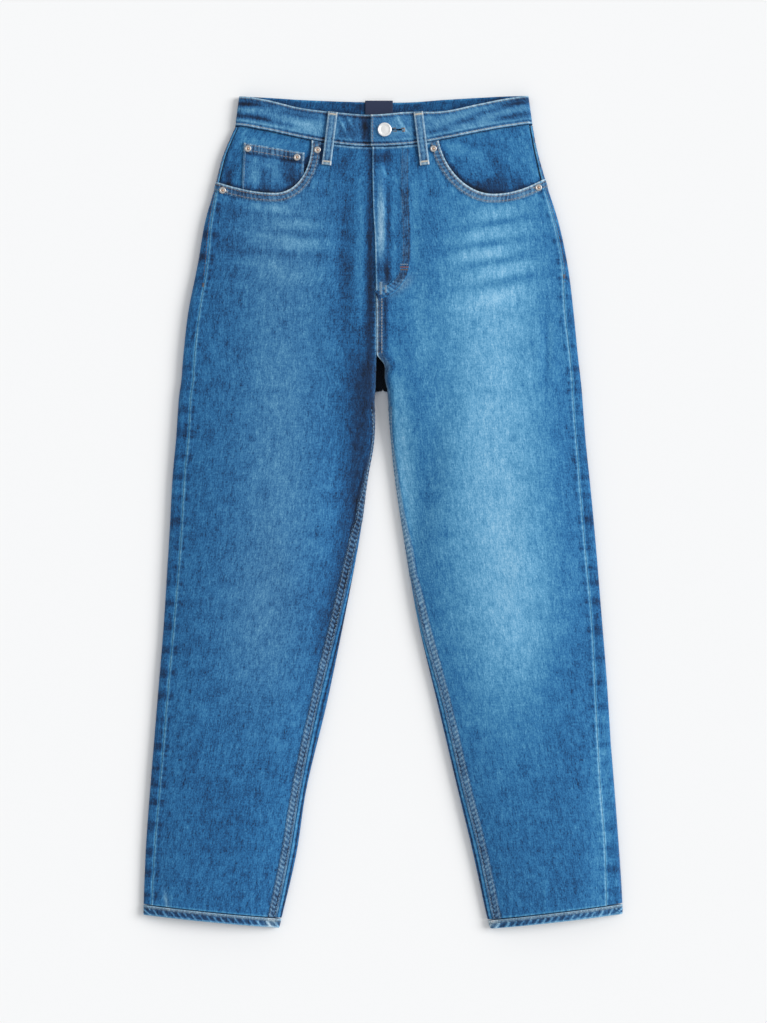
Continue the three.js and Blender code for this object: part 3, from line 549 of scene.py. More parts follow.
def panel_grid(on_inner, inner, outer):
    """A panel from its stretch at the inner silhouette and the rest, with distances from its four edges."""
    points, normals = (np.where(on_inner[..., None], a, b) for a, b in zip(inner, outer))
    d_out, d_top = run_along(points, 1), run_along(points, 0)
    return Grid(points, normals, d_out=d_out, d_in=d_out[:, -1:] - d_out, d_top=d_top,
                d_bottom=d_top[-1:] - d_top, across=d_out - d_out[:, -1:] / 2)


def underlap_at(down):
    return FLY_UNDERLAP * (1 - smoothstep(down, *FLY_UNDERLAP_FADE))


def front_grid(half):
    row = rows_at(half, fine_places(half, 0, HEM_ROW, CELL, (0.8, 1.6, 3.2, 4.2, 6.2))[:, None])
    quarter = quarter_arc(row, CLOTH)
    start = arc_of(row, row["out_seam"], CLOTH) + GAP / 2
    end = arc_of(row, row["in_seam"], CLOTH) + GAP / 2
    end_start = np.maximum(end, quarter) + LEAD
    flat_end = GAP / 2 - (underlap_at(row["in_down"]) if half == "right" else 0)
    flat_start = FOLD_RUN + end_start - quarter
    main = row["width"] - flat_start - (FOLD_RUN + start - quarter)
    roll = row["front_roll"]
    last = (flat_start - flat_end) * (1 - roll) + (end_start - end) * roll
    t = columns_between(main + last, CELL)
    outer = put(row, "front", "out", outer_fold(row, start + t, CLOTH))
    f = np.clip((t - main) / last, 0, 1)
    folded = inner_fold(row, end_start + (end - end_start) * f, CLOTH)
    across = flat_start + (flat_end - flat_start) * f
    height = arch_at(row, row["width"] - across) + fly_raise_at(row, across)
    flat = {"across": across, "z": height, "normal_across": 0, "normal_z": 1, "top": 1}
    inner = put(row, "front", "in", mix_points(flat, folded, roll))
    return panel_grid(t > main, inner, outer)


def back_grid(half, first, last, gap_before, gap_after):
    places = fine_places(half, first, last, CELL)
    down = rows_at(half, places)["out_down"]
    places = np.interp(np.clip(down, down[0] + gap_before, down[-1] - gap_after), down, places)
    row = rows_at(half, places[:, None])
    quarter = quarter_arc(row, CLOTH)
    start = arc_of(row, row["out_seam"], CLOTH) - GAP / 2
    end = arc_of(row, row["in_seam"], CLOTH) - GAP / 2
    roll = smoothstep(row["back_roll"], 0.02, 0.5)
    top_row = dict(row)
    row["in_x"] = row["in_x"] * roll
    row["in_down"] = row["back_down"] * (1 - roll) + row["in_down"] * roll
    set_width(row, row["in_x"], row["in_down"])
    main = start + quarter + row["width"] - 2 * FOLD_RUN
    last_run = (FOLD_RUN - SEAT_SEAM) * (1 - roll) + (end + quarter) * roll
    t = columns_between(main + last_run, 7.0)
    outer = put(row, "back", "out", outer_fold(top_row, start - t, CLOTH))
    f = np.clip((t - main) / last_run, 0, 1)
    folded = inner_fold(top_row, -quarter + (end + quarter) * f, CLOTH)
    flat = {"across": FOLD_RUN + (SEAT_SEAM - FOLD_RUN) * f, "z": CLOTH / 2 + row["lift"], "normal_across": 0,
            "normal_z": -1, "top": 0}
    inner = put(row, "back", "in", mix_points(flat, folded, roll))
    return panel_grid(t > main, inner, outer)


HEM_MIDDLE = 84  # half of the leg's width at the hem


def hem_grid(half):
    row = rows_at(half, fine_places(half, HEM_ROW + 0.03, LAST_ROW, CELL / 2)[:, None])
    quarter = quarter_arc(row, HEM_CLOTH)
    count = round(320 / CELL)
    across = FOLD_RUN + (row["width"] - 2 * FOLD_RUN) * np.linspace(0, 1, count)[None, :]
    below = FOLD_RUN + (row["width"] - 2 * FOLD_RUN) * np.linspace(1, 0, count // 4)[None, 1:-1]
    turn = quarter * np.linspace(1, -1, 15)[None, :]
    stretches = [
        ("out", quarter + across - FOLD_RUN, arch_at(row, across)),
        ("in", turn[:, 1:], row["edge"]),
        ("out", FOLD_RUN - below - quarter, 0),
        ("out", turn[:, :0:-1], row["edge"]),
    ]
    parts = [
        put(row, "front", edge, fold_point(row, arc, HEM_CLOTH, height)) for edge, arc, height in stretches
    ]
    points, normals = (np.concatenate(part, axis=1) for part in zip(*parts))
    d_seam = run_along(points, 0)
    around = run_along(points, 1)
    return Grid(points, normals, ring=True, d_seam=d_seam, d_edge=d_seam[-1:] - d_seam, around=around,
                across=around - HEM_MIDDLE)


def facing_grid(half):
    row = rows_at(half, fine_places(half, 0, FACING_ROWS_END, CELL)[:, None])
    quarter = quarter_arc(row, CLOTH)
    start = arc_of(row, row["out_seam"], CLOTH) + FACING_EDGE_GAP
    end = quarter + (FACING_INNER_X[half] - row["out_x"]) / row["along_x"] - FOLD_RUN
    arc = start + (end - start) * np.linspace(0, 1, round(130 / CELL))[None, :]
    points, normals = put(row, "front", "out", outer_fold(row, arc, CLOTH))
    return Grid(points - normals * FACING_DEPTH, normals, across=run_along(points, 1))


def front_surface(half, x, down):
    """The top layer's mid surface over plan points: positions and normals."""
    x, down = np.broadcast_arrays(np.asarray(x, float), np.asarray(down, float))
    low, high = np.zeros(x.shape), np.full(x.shape, float(HEM_ROW))
    for _ in range(24):
        middle = (low + high) / 2
        row = rows_at(half, middle)
        offset_x, offset_down = x - row["out_x"], down - sag_at(row, "front", x) - row["out_down"]
        below = (row["along_x"] * offset_down - row["along_down"] * offset_x) * INWARD[half] > 0
        low, high = np.where(below, middle, low), np.where(below, high, middle)
    row = rows_at(half, low)
    sag = sag_at(row, "front", x)
    across = (x - row["out_x"]) * row["along_x"] + (down - sag - row["out_down"]) * row["along_down"]
    quarter = quarter_arc(row, CLOTH)
    arc = arc_of(row, np.maximum(across, 0.8), CLOTH)
    arc = np.where(across >= FOLD_RUN, quarter + across - FOLD_RUN, arc)
    point = fold_point(row, arc, CLOTH, arch_at(row, across) + fly_raise_at(row, row["width"] - across))
    return put(row, "front", "out", point)


def bezier_line(points, count=60):
    points = np.array(points, float)
    line = []
    for stretch in (points[:4], points[3:]):
        t = np.linspace(0, 1, count)[:, None]
        a, b, c, d = stretch
        line.append(a * (1 - t) ** 3 + 3 * b * t * (1 - t) ** 2 + 3 * c * t * t * (1 - t) + d * t**3)
    return np.vstack([line[0], line[1][1:]])


def smooth_line(points, rounds=3):
    """Rounds the corners of a short line."""
    line = np.array(points, float)
    for _ in range(rounds):
        a, b = line[:-1], line[1:]
        inner = np.stack([0.75 * a + 0.25 * b, 0.25 * a + 0.75 * b], 1).reshape(-1, 2)
        line = np.vstack([line[:1], inner, line[-1:]])
    return line


def distance_to_line(x, down, line):
    """Nearest distance to a line of points, which side of it, and how far along it."""
    best = np.full(x.shape, FAR)
    side = np.zeros(x.shape)
    place = np.zeros(x.shape)
    travelled = 0.0
    for (ax, ay), (bx, by) in zip(line[:-1], line[1:]):
        length = math.hypot(bx - ax, by - ay)
        ux, uy = (bx - ax) / length, (by - ay) / length
        along = np.clip((x - ax) * ux + (down - ay) * uy, 0, length)
        dx, dy = x - ax - ux * along, down - ay - uy * along
        distance = np.hypot(dx, dy)
        nearer = distance < best
        best = np.where(nearer, distance, best)
        side = np.where(nearer, np.sign(ux * (down - ay) - uy * (x - ax)), side)
        place = np.where(nearer, travelled + along, place)
        travelled += length
    return best, side, place


def scoop_distance(half, x, down):
    """Distance from the pocket opening's edge, positive on the front panel, and how far along the edge."""
    line = bezier_line(SCOOP[half])
    first = line[0] + (line[0] - line[1]) * SCOOP_TAIL
    last = line[-1] + (line[-1] - line[-2]) * SCOOP_TAIL
    distance, side, place = distance_to_line(x, down, np.vstack([first, line, last]))
    return -distance * side * INWARD[half], place


def lap_at(half, x):
    """How far the band's left end is raised and its right end lowered, where they lap at the fly."""
    if half == "left":
        return BAND_RAISE * (1 - smoothstep(x, *BAND_RAISE_FADE))
    return -BAND_LOWER * smoothstep(x, *BAND_LOWER_FADE)


def band_level(half, across):
    """The height of the band's mid surface at a distance in from the side, without the lap."""
    row = rows_at(half, np.array([[0.0]]))
    row["width"] = np.abs(row["out_x"] - row["in_x"])
    return arch_at(row, across)


def band_grid():
    """The waistband all round, from the right end at the fly round the back to the left end on top."""
    places = [np.linspace(0, 0.38, 15), np.linspace(0.41, 0.59, 11), np.linspace(0.62, 1, 15)]
    v = np.concatenate(places)[:, None]
    step = 1.6 * CELL / 2.5
    band_row = {half: rows_at(half, np.array([[0.0]])) for half in HALVES}
    out_x = {half: BAND_TOP_X[half] + (BAND_BOTTOM_X[half] - BAND_TOP_X[half]) * v for half in HALVES}

    def face_down(face, x):
        top, bottom = band_at(face + "_top", x), band_at(face + "_bottom", x)
        return top + (bottom - GAP - top) * v

    def top_part(half, across):
        x = out_x[half] + INWARD[half] * across
        down = face_down("front", x)
        z = band_level(half, across) + lap_at(half, x) + creases_at(x, down)
        return np.stack([x, -down, z], -1), np.broadcast_to(UP, x.shape + (3,))

    def back_part(half, across):
        x = out_x[half] + INWARD[half] * across
        z = np.full(x.shape, BAND_CLOTH / 2 + SEAT_LIFT)
        return np.stack([x, -face_down("back", x), z], -1), np.broadcast_to(DOWN, x.shape + (3,))

    def side_part(half, arc):
        row = band_row[half]
        fold = fold_point(row, arc + 0 * v, BAND_CLOTH, row["edge"])
        x = out_x[half] + INWARD[half] * fold["across"]
        f = (fold["normal_z"] + 1) / 2
        down = face_down("back", x) * (1 - f) + face_down("front", x) * f
        z = fold["z"] + creases_at(x, down) * fold["top"]
        normal = np.stack([INWARD[half] * fold["normal_across"], 0 * x, fold["normal_z"]], -1)
        return np.stack([x, -down, z], -1), normal / np.linalg.norm(normal, axis=-1, keepdims=True)

    quarter = quarter_arc(band_row["right"], BAND_CLOTH)
    right_end, left_end = BAND_UNDER_END_X - out_x["right"], out_x["left"] - BAND_LAP_END_X
    fine = np.linspace(0, 1, round(190 / step))[None, :]
    turn = np.linspace(1, -1, 15)[None, :]
    half_back = np.linspace(0, 1, round(60 / CELL * 1.5))[None, :]
    parts = [
        top_part("right", right_end + (FOLD_RUN - right_end) * fine),
        side_part("right", quarter * turn[:, 1:]),
        back_part("right", FOLD_RUN + (-out_x["right"] - FOLD_RUN) * half_back[:, 1:]),
        back_part("left", out_x["left"] + (FOLD_RUN - out_x["left"]) * half_back[:, 1:]),
        side_part("left", -quarter * turn[:, 1:]),
        top_part("left", FOLD_RUN + (left_end - FOLD_RUN) * fine[:, 1:]),
    ]
    points, normals = (np.concatenate(part, axis=1) for part in zip(*parts))
    d_top = run_along(points, 0)
    along = run_along(points, 1)
    return Grid(points, normals, d_top=d_top, d_bottom=d_top[-1:] - d_top, along=along,
                d_end=along[:, -1:] - along, across=along - BAND_MIDDLE, left_end=along > along[:, -1:] / 2)


def bar_grid(half, top, bottom, width, rise_at):
    """A straight strip over the top layer between two plan points."""
    length = math.hypot(bottom[0] - top[0], bottom[1] - top[1])
    ux, uy = (bottom[0] - top[0]) / length, (bottom[1] - top[1]) / length
    f = np.linspace(0, 1, round(length / BAR_STEP))[:, None]
    g = np.linspace(-0.5, 0.5, 11)[None, :]
    x = top[0] + (bottom[0] - top[0]) * f + uy * width * g
    down = top[1] + (bottom[1] - top[1]) * f - ux * width * g
    points, _ = front_surface(half, x, down)
    return flat_grid(x, down, points[..., 2] + rise_at(f), UP, along=f * length, across=g * width)


# Meshes


def make_mesh(name, vertices, faces, materials, face_materials=None, values=None):
    """A smooth object from vertices in millimetres and a list of face arrays, each with one corner count."""
    faces = [np.asarray(group, int) for group in faces if len(group)]
    corners = np.concatenate([group.ravel() for group in faces])
    counts = np.concatenate([np.full(len(group), group.shape[1]) for group in faces])
    starts = np.concatenate([[0], np.cumsum(counts)[:-1]])
    place = np.array(vertices, float) + (0, CENTRE_DOWN, 0)
    mesh = bpy.data.meshes.new(name)
    mesh.vertices.add(len(place))
    mesh.vertices.foreach_set("co", (place * MM).ravel())
    mesh.loops.add(len(corners))
    mesh.loops.foreach_set("vertex_index", corners.astype(np.int32))
    mesh.polygons.add(len(counts))
    mesh.polygons.foreach_set("loop_start", starts.astype(np.int32))
    mesh.polygons.foreach_set("use_smooth", np.full(len(counts), True))
    for material in materials:
        mesh.materials.append(material)
    if face_materials is not None:
        mesh.polygons.foreach_set("material_index", np.asarray(face_materials, np.int32))
    mesh.update(calc_edges=True)
    for key, value in (values or {}).items():
        value = np.asarray(value, float)
        if value.ndim == 1:
            mesh.attributes.new(key, "FLOAT", "POINT").data.foreach_set("value", value)
        else:
            mesh.attributes.new(key, "FLOAT_VECTOR", "POINT").data.foreach_set("vector", value.ravel())
    mesh.validate()
    obj = bpy.data.objects.new(name, mesh)
    bpy.context.scene.collection.objects.link(obj)
    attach(obj, "root")
    return obj


def border_edges(quads, polygons):
    """Directed edges that only one face uses."""
    edges = [np.stack([quads[:, i], quads[:, (i + 1) % 4]], -1) for i in range(4)]
    loose = [(p[i], p[(i + 1) % len(p)]) for p in polygons for i in range(len(p))]
    if loose:
        edges.append(np.array(loose))
    edges = np.vstack(edges)
    key = edges.min(axis=1).astype(np.int64) * 10_000_000 + edges.max(axis=1)
    _, first, count = np.unique(key, return_index=True, return_counts=True)
    return edges[first[count == 1]]


INSIDE_LEVEL = 2.5
pieces = {}


def cloth_piece(part, grid, thickness, relief, level, grey=0.0, under=INSIDE_LEVEL, materials=None,
                slot="denim", name=None, replaces=True):
    """A thin shell on the grid: relief raises the outer face only, level is its dye with painted shade, under
    the inner face's.
    grey is how far the outer face's colour is worn and sewn to grey."""
    outer = grid.points + grid.normals * (thickness / 2 + relief)[:, None]
    inner = grid.points - grid.normals * thickness / 2
    count = len(outer)
    border = border_edges(grid.quads, grid.polygons)
    sides = np.stack([border[:, 1], border[:, 0], border[:, 0] + count, border[:, 1] + count], -1)
    groups = [grid.quads, grid.quads[:, ::-1] + count, sides]
    kinds = [np.zeros(len(grid.quads)), np.ones(len(grid.quads)), np.zeros(len(sides))]
    for corners in (3, 4, 5):
        chosen = [p for p in grid.polygons if len(p) == corners]
        if chosen:
            chosen = np.array(chosen)
            groups += [chosen, chosen[:, ::-1] + count]
            kinds += [np.zeros(len(chosen)), np.ones(len(chosen))]
    weave = np.stack([grid["across"], grid.down, np.zeros(count)], -1)
    under = np.broadcast_to(under, level.shape)
    # the faded dye together with the painted shade, as one value from 0 to 1
    fade_and_shade = (np.concatenate([level, under]) - LOWEST_LEVEL) / (HIGHEST_LEVEL - LOWEST_LEVEL)
    grey = np.clip(np.concatenate([np.broadcast_to(grey, level.shape), np.zeros(count)]), 0, 1)
    values = {"fade_and_shade": fade_and_shade, "grey": grey, "cloth": np.vstack([weave, weave])}
    used = np.zeros(2 * count, bool)
    for group in groups:
        used[group.ravel()] = True
    renumber = np.cumsum(used) - 1
    groups = [renumber[group] for group in groups]
    values = {key: value[used] for key, value in values.items()}
    vertices = np.vstack([outer, inner])[used]
    materials = materials or (denim, denim_inside)
    kinds = np.concatenate(kinds)
    pieces[part] = make_mesh(name or f"cloth_{part}", vertices, groups, materials, kinds, values)
    if replaces:
        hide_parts(part)


# Materials

LOWEST_LEVEL, HIGHEST_LEVEL = -1.0, 6.0
# Level, the dyed cloth's sRGB colour, and the colour where it is worn or sewn to grey. Level -1, darker than
# the dye itself, serves the painted shade inside the crotch
DYE = (
    (-1, (5, 16, 33), (13, 17, 24)),
    (0, (14, 50, 88), (38, 44, 54)),
    (1, (24, 84, 134), (66, 82, 96)),
    (2, (41, 109, 161), (94, 114, 131)),
    (3, (63, 129, 173), (124, 144, 157)),
    (4, (88, 152, 192), (152, 170, 181)),
    (5, (114, 172, 208), (180, 193, 202)),
    (6, (144, 192, 221), (206, 213, 218)),
)
# Noises of the dye: cells a millimetre across and down, detail, and how far each moves the colour ramp
GRAINS = (
    (0.75, 0.46, 2.0, 0.30),
    (0.48, 0.12, 2.0, 0.22),
    (0.9, 0.2, 1.0, 0.15),
    (0.22, 0.03, 2.0, 0.13),
    (0.10, 0.5, 1.0, 0.07),
    (0.13, 0.07, 2.0, 0.13),
    (0.05, 0.04, 3.0, 0.10),
)
WALE_PITCH = 1.1
BUMP_DISTANCE = 0.0003


def linear(colour):
    return tuple(value / 3294.6 if value < 11 else ((value / 255 + 0.055) / 1.055) ** 2.4 for value in colour)


class Shading:
    """A new material, with short ways to add nodes to it."""

    def __init__(self, name):
        self.material = bpy.data.materials.new(name)
        self.material.use_nodes = True
        self.tree = self.material.node_tree
        self.shader = self.tree.nodes["Principled BSDF"]

    def add(self, kind):
        return self.tree.nodes.new("ShaderNode" + kind)

    def fill(self, node, values):
        """Sets a node's inputs, by name or number, or links them where the value is another node's output."""
        for name, value in values.items():
            if isinstance(value, bpy.types.NodeSocket):
                self.tree.links.new(value, node.inputs[name])
            else:
                node.inputs[name].default_value = value
        return node

    def math(self, operation, *values):
        node = self.add("Math")
        node.operation = operation
        return self.fill(node, dict(enumerate(values))).outputs[0]

    def attribute(self, name, output):
        node = self.add("Attribute")
        node.attribute_name = name
        return node.outputs[output]

    def noise(self, vector, scale_x, scale_down, detail):
        """Value noise on the cloth's own coordinates, scales in cells a millimetre."""
        stretch = self.add("VectorMath")
        stretch.operation = "MULTIPLY"
        self.fill(stretch, {0: vector, 1: (scale_x, scale_down, 1)})
        inputs = {"Scale": 1, "Detail": detail, "Roughness": 0.5, "Vector": stretch.outputs[0]}
        return self.fill(self.add("TexNoise"), inputs).outputs["Fac"]

    def ramp(self, level, column):
        """The dye's colour at a level, from one column of its table."""
        ramp = self.fill(self.add("ValToRGB"), {0: level})
        elements = ramp.color_ramp.elements
        while len(elements) < len(DYE):
            elements.new(0.5)
        for element, line in zip(elements, DYE):
            element.position = (line[0] - LOWEST_LEVEL) / (HIGHEST_LEVEL - LOWEST_LEVEL)
            element.color = (*linear(line[column]), 1)
        return ramp.outputs[0]

    def bump(self, strength, height):
        inputs = {"Strength": strength, "Distance": BUMP_DISTANCE, "Height": height}
        self.fill(self.shader, {"Normal": self.fill(self.add("Bump"), inputs).outputs[0]})


def denim_material(name, grey_base=0.0):
    """Twill of dark warp and pale weft: the fade_and_shade attribute sets the dye with its painted shade,
    noises give slubs and grain.
    """
    shading = Shading(name)
    vector = shading.attribute("cloth", "Vector")
    fade_and_shade = shading.attribute("fade_and_shade", "Fac")
    grain = 0.0
    for scale_x, scale_down, detail, amount in GRAINS:
        centred = shading.math("SUBTRACT", shading.noise(vector, scale_x, scale_down, detail), 0.5)
        grain = shading.math("MULTIPLY_ADD", centred, 2 * amount, grain)
    strength = shading.math("MINIMUM", shading.math("MULTIPLY_ADD", fade_and_shade, 2.2, 0.25), 1.0)
    level = shading.math("MULTIPLY_ADD", grain, strength, fade_and_shade)
    split = shading.fill(shading.add("SeparateXYZ"), {0: vector})
    diagonal = shading.math("ADD", split.outputs[0], split.outputs[1])
    wale = shading.math("SINE", shading.math("MULTIPLY", diagonal, 2 * math.pi / WALE_PITCH))
    level = shading.math("MULTIPLY_ADD", wale, 0.025, level)
    grey = shading.math("ADD", shading.attribute("grey", "Fac"), grey_base)
    mix = shading.add("Mix")
    mix.data_type = "RGBA"
    shading.fill(mix, {"Factor": grey, "A": shading.ramp(level, 1), "B": shading.ramp(level, 2)})
    shading.fill(shading.shader, {
        "Base Color": mix.outputs["Result"],
        "Roughness": 0.88,
        "Specular IOR Level": 0.25,
        "Sheen Weight": 0.12,
        "Sheen Roughness": 0.5,
    })
    yarns = shading.noise(vector, 1.3, 0.5, 2.0)
    shading.bump(0.4, shading.math("MULTIPLY_ADD", wale, 0.25, yarns))
    return shading.material


def plain_material(name, colour, roughness=0.9, metallic=0.0, grain=0.0):
    shading = Shading(name)
    inputs = {"Base Color": (*colour, 1), "Roughness": roughness, "Metallic": metallic}
    shading.fill(shading.shader, inputs)
    if grain:
        where = shading.add("TexCoord").outputs["Object"]
        texture = shading.fill(shading.add("TexNoise"), {"Scale": grain, "Vector": where})
        shading.bump(0.3, texture.outputs["Fac"])
    return shading.material


denim = denim_material("denim_outside")
denim_inside = denim_material("denim_inside", 0.4)
zip_tape = plain_material("zip_tape_dark", (0.012, 0.02, 0.045), grain=900)
label_cloth = plain_material("label_woven", (0.02, 0.03, 0.07), grain=1200)
pale_metal = plain_material("pale_metal", (0.93, 0.92, 0.91), roughness=0.4, metallic=0.75)
silver = plain_material("rivet_silver", (0.52, 0.50, 0.48), roughness=0.45, metallic=1.0)
copper = plain_material("rivet_copper", (0.50, 0.34, 0.25), roughness=0.5, metallic=1.0)
THREADS = {
    "tan": plain_material("thread_tan", (0.31, 0.25, 0.22)),
    "brown": plain_material("thread_brown", (0.15, 0.115, 0.10)),
    "slate": plain_material("thread_slate", (0.09, 0.11, 0.14)),
    "red": plain_material("thread_red_brown", (0.19, 0.10, 0.12)),
    "cream": plain_material("thread_cream", (0.60, 0.55, 0.46)),
    "pale": plain_material("thread_pale_blue", (0.21, 0.31, 0.41)),
}


# Dye and painted shade: where the denim is faded, and where shade and shadows are painted into it. Levels run
# from 0, dark, to 6, nearly white

BASE_LEVEL = 1.5
# X, down, turn in degrees, half length, half width, change of level. The first are on both faces of the jeans
BROAD_PATCHES = [
    # thighs, knees and hips
    (132, 430, 92, 250, 72, 3.1),
    (24, 440, 85, 120, 14, 2.5),
    (165, 640, 94, 130, 55, 1.9),
    (218, 440, 92, 120, 18, -0.3),
    (268, 860, 92, 130, 14, 0.8),
    (128, 210, 90, 110, 70, 1.2),
    (-128, 440, 92, 250, 48, 1.0),
    (-128, 190, 92, 110, 60, 0.25),
    (-160, 660, 94, 90, 44, 0.4),
    # darker sides, inner thigh and shins
    (-184, 165, 92, 70, 16, -0.6),
    (-238, 470, 92, 260, 20, 0.1),
    (-214, 250, 96, 120, 12, -0.3),
    # painted shade on the inner thigh beside the crotch and the fly's step
    (-28, 420, 96, 140, 18, -1.6),
    (-60, 620, 100, 110, 16, -1.1),
    (-34, 355, 90, 50, 16, -0.6),
    (203, 230, 94, 130, 12, -0.1),
    (48, 292, 90, 60, 16, 1.0),
    (-185, 900, 92, 160, 80, -0.3),
    (268, 860, 92, 150, 16, 0.5),
]
PATCHES = [
    *BROAD_PATCHES,
    # columns beside the fly: partly wash and partly painted shade in the fold's trough at X -46, and a
    # painted shadow along the fly's edge at X -16
    (-46, 200, 91, 100, 11, -1.1),
    (-27, 190, 91, 70, 5, 1.1),
    (-16, 190, 90, 140, 5, -2.0),
    (38, 165, 90, 70, 6, 0.9),
    (58, 210, 89, 90, 8, -0.6),
    # whiskers on the right hip
    (-138, 139, 8, 36, 7, 1.4),
    (-101, 158, 5, 40, 7, 1.3),
    (-152, 170, 9, 38, 6, 0.9),
    (-101, 183, 3, 45, 8, 1.3),
    (-146, 206, 6, 36, 7, 0.9),
    (-101, 222, 2, 40, 8, 0.7),
    (-180, 232, 4, 26, 5, 0.7),
    (-120, 148, 6, 44, 4, -0.7),
    (-112, 170, 5, 50, 4, -0.7),
    (-118, 195, 4, 50, 5, -0.7),
    # whiskers on the left hip
    (143, 145, -10, 46, 8, 1.0),
    (130, 170, -9, 40, 7, 0.9),
    (118, 196, -9, 40, 8, 1.2),
    (156, 214, -12, 36, 7, 0.9),
    (130, 251, -10, 42, 9, 0.9),
    (168, 238, -14, 26, 6, 0.7),
    (136, 157, -10, 44, 4, -1.4),
    (128, 183, -9, 44, 4, -1.4),
    (140, 203, -10, 46, 5, -1.3),
    (146, 228, -11, 44, 5, -1.3),
    # pressed crease on the left hip
    (200, 312, 91, 44, 2.2, -1.4),
    (205, 312, 91, 44, 2.2, 0.5),
    # fly: light ridge over the zip, painted shade in the hollow beside it
    (-4.6, 160, 90, 48, 3.0, 2.3),
    (-0.4, 160, 90, 46, 3.0, 2.6),
    (6.4, 160, 91, 64, 2.8, -1.6),
    (13, 150, 90, 70, 3.0, 0.9),
    (19, 140, 91, 60, 2.0, -0.6),
    (2, 76, 0, 14, 9, -1.5),
    (3, 97, 62, 10, 1.8, 2.2),
    (-1, 214, 90, 15, 7, -1.5),
    (6, 222, 90, 12, 3, -1.4),
    # waistband
    (-101, 37, 7, 62, 10, 2.0),
    (-160, 34, 8, 24, 4, 1.0),
    (-168, 18, 5, 24, 4, 0.9),
    # dark lines: painted shade in the waistband's wrinkles on the right side
    (-168, 11, 3, 18, 3.5, -2.6),
    (-160, 27, 7, 28, 3.4, -2.8),
    (-124, 35, 10, 26, 2.6, -2.0),
    (-100, 26, 8, 26, 2.4, -1.0),
    (-38, 44, 0, 18, 12, -1.5),
    (112, 30, -10, 74, 15, 1.7),
    # dark lines: painted shade in the waistband's wrinkles on the left side
    (100, 32, -14, 26, 4, -2.8),
    (66, 44, -10, 20, 3.4, -1.8),
    (163, 10, -8, 22, 3.6, -2.4),
    (158, 25, -10, 26, 3.8, -2.8),
    (130, 20, -12, 24, 3.4, -1.6),
    (120, 40, -12, 40, 2.4, -0.9),
    # painted shadow on the band beside its raised lapped end
    (-22, 43, 90, 20, 5, -2.4),
    (8, 36, 0, 20, 10, 1.1),
    # painted shadows along the sides of the front belt loops
    (-73, 55, 97, 36, 2.6, -2.2),
    (39.5, 54, 83, 34, 2.4, -2.0),
    (-54, 55, 97, 34, 2.2, -0.9),
    # folds lit on the waistband and hem
    (21, 34, 60, 13, 2.2, 2.2),
    (31, 46, 40, 8, 1.8, 1.2),
    (-48, 40, 66, 15, 2.0, 2.0),
    (-40, 33, 62, 9, 1.6, 1.9),
    (-265, 984, 80, 13, 2.0, 2.0),
    (-258, 982, 100, 12, 1.8, 1.3),
    (198, 984, 92, 24, 2.2, 0.9),
]
# Facing patches: the dark ones at (-190, 98), (-94, 92) and (126, 112) are painted shade in the pocket
# hollows under the opening's edge
FACING_PATCHES = [
    (-190, 98, 84, 24, 6, -2.2),
    (-180, 78, 80, 16, 5, -0.8),
    (-94, 92, 80, 26, 7, -1.5),
    (-198, 66, 80, 22, 5, 0.9),
    (-140, 60, 8, 44, 7, 0.8),
    (-140, 118, 0, 60, 6, -0.8),
    (126, 112, -4, 38, 13, -2.0),
    (86, 94, 50, 20, 9, -1.3),
    (100, 68, 20, 26, 8, 0.9),
    (170, 66, 80, 20, 6, 0.5),
    (128, 60, 5, 40, 4, -0.7),
    (146, 86, 60, 30, 12, -0.5),
    (182, 92, 80, 22, 6, 0.9),
    (166, 108, 30, 10, 6, -0.9),
]
COIN_PATCHES = [
    (-158, 96, 96, 18, 7, 1.9),
    (-130, 92, 84, 16, 6, 1.2),
    (-146, 98, 90, 16, 4, -0.9),
    (-112, 100, 90, 26, 9, -1.3),
    (-145, 116, 0, 34, 8, -0.8),
    (-166, 92, 92, 26, 3, -0.8),
    (-140, 86, 20, 9, 2, 1.4),
]
# The sewn and crumpled places that are worn to grey
FLY_GREY = [(2, 238, 0, 10, 9, 0.55), (24, 232, 140, 13, 6, 0.4)]
HEM_GREY = [(-137, 1012, 0, 8, 8, 0.5), (133, 1012, 0, 8, 8, 0.5)]
GREY_PATCHES = [
    *FLY_GREY,
    *HEM_GREY,
    (-2.5, 160, 90, 46, 5, 0.4),
    (-265, 984, 80, 13, 3.0, 0.3),
    (-128, 420, 92, 240, 60, 0.12),
    (-150, 640, 94, 120, 60, 0.10),
    (-130, 170, 92, 90, 60, 0.10),
]


# The dye's level at plan points, with the painted shade and shadows that stand among the patches
def dye_and_painted_shade(x, down, patches=PATCHES):
    worn = 0.2 * noise(x / 30, down / 44, 11) + 0.15 * noise(x / 11, down / 17, 12)
    return BASE_LEVEL + bumps_at(x, down, patches) + worn


def fly_crumple(x, down):
    """How far the cloth at the lower end of the fly is crumpled, from 0 to 1."""
    return np.clip(bumps_at(x, down, FLY_GREY) / 0.5, 0, 1)


# Panels

WEAR_REACH, WEAR_PERIOD = 9.0, 7.5
SPOT_PITCH = 27
SPOT_SEEDS = {"right": 41, "left": 40}


def seam_wear(distance, along, seed, depth):
    """Light worn edge at a seam, then light and dark puckers across it that die away."""
    edge = 2.0 * bell(distance, 0.4, 1.4)
    waves = pucker(along, WEAR_PERIOD, seed)
    near = 1 - smoothstep(distance, WEAR_REACH * 0.4, WEAR_REACH)
    return edge + depth * waves * near - 0.4 * bell(distance, 3.2, 2.0)


def spots_at(half, down):
    """Dark spots down the side seam, where the lapped seam's layers bunch, from 0 to 1."""
    return smoothstep(pucker(down, SPOT_PITCH, SPOT_SEEDS[half]), 0.1, 0.7)


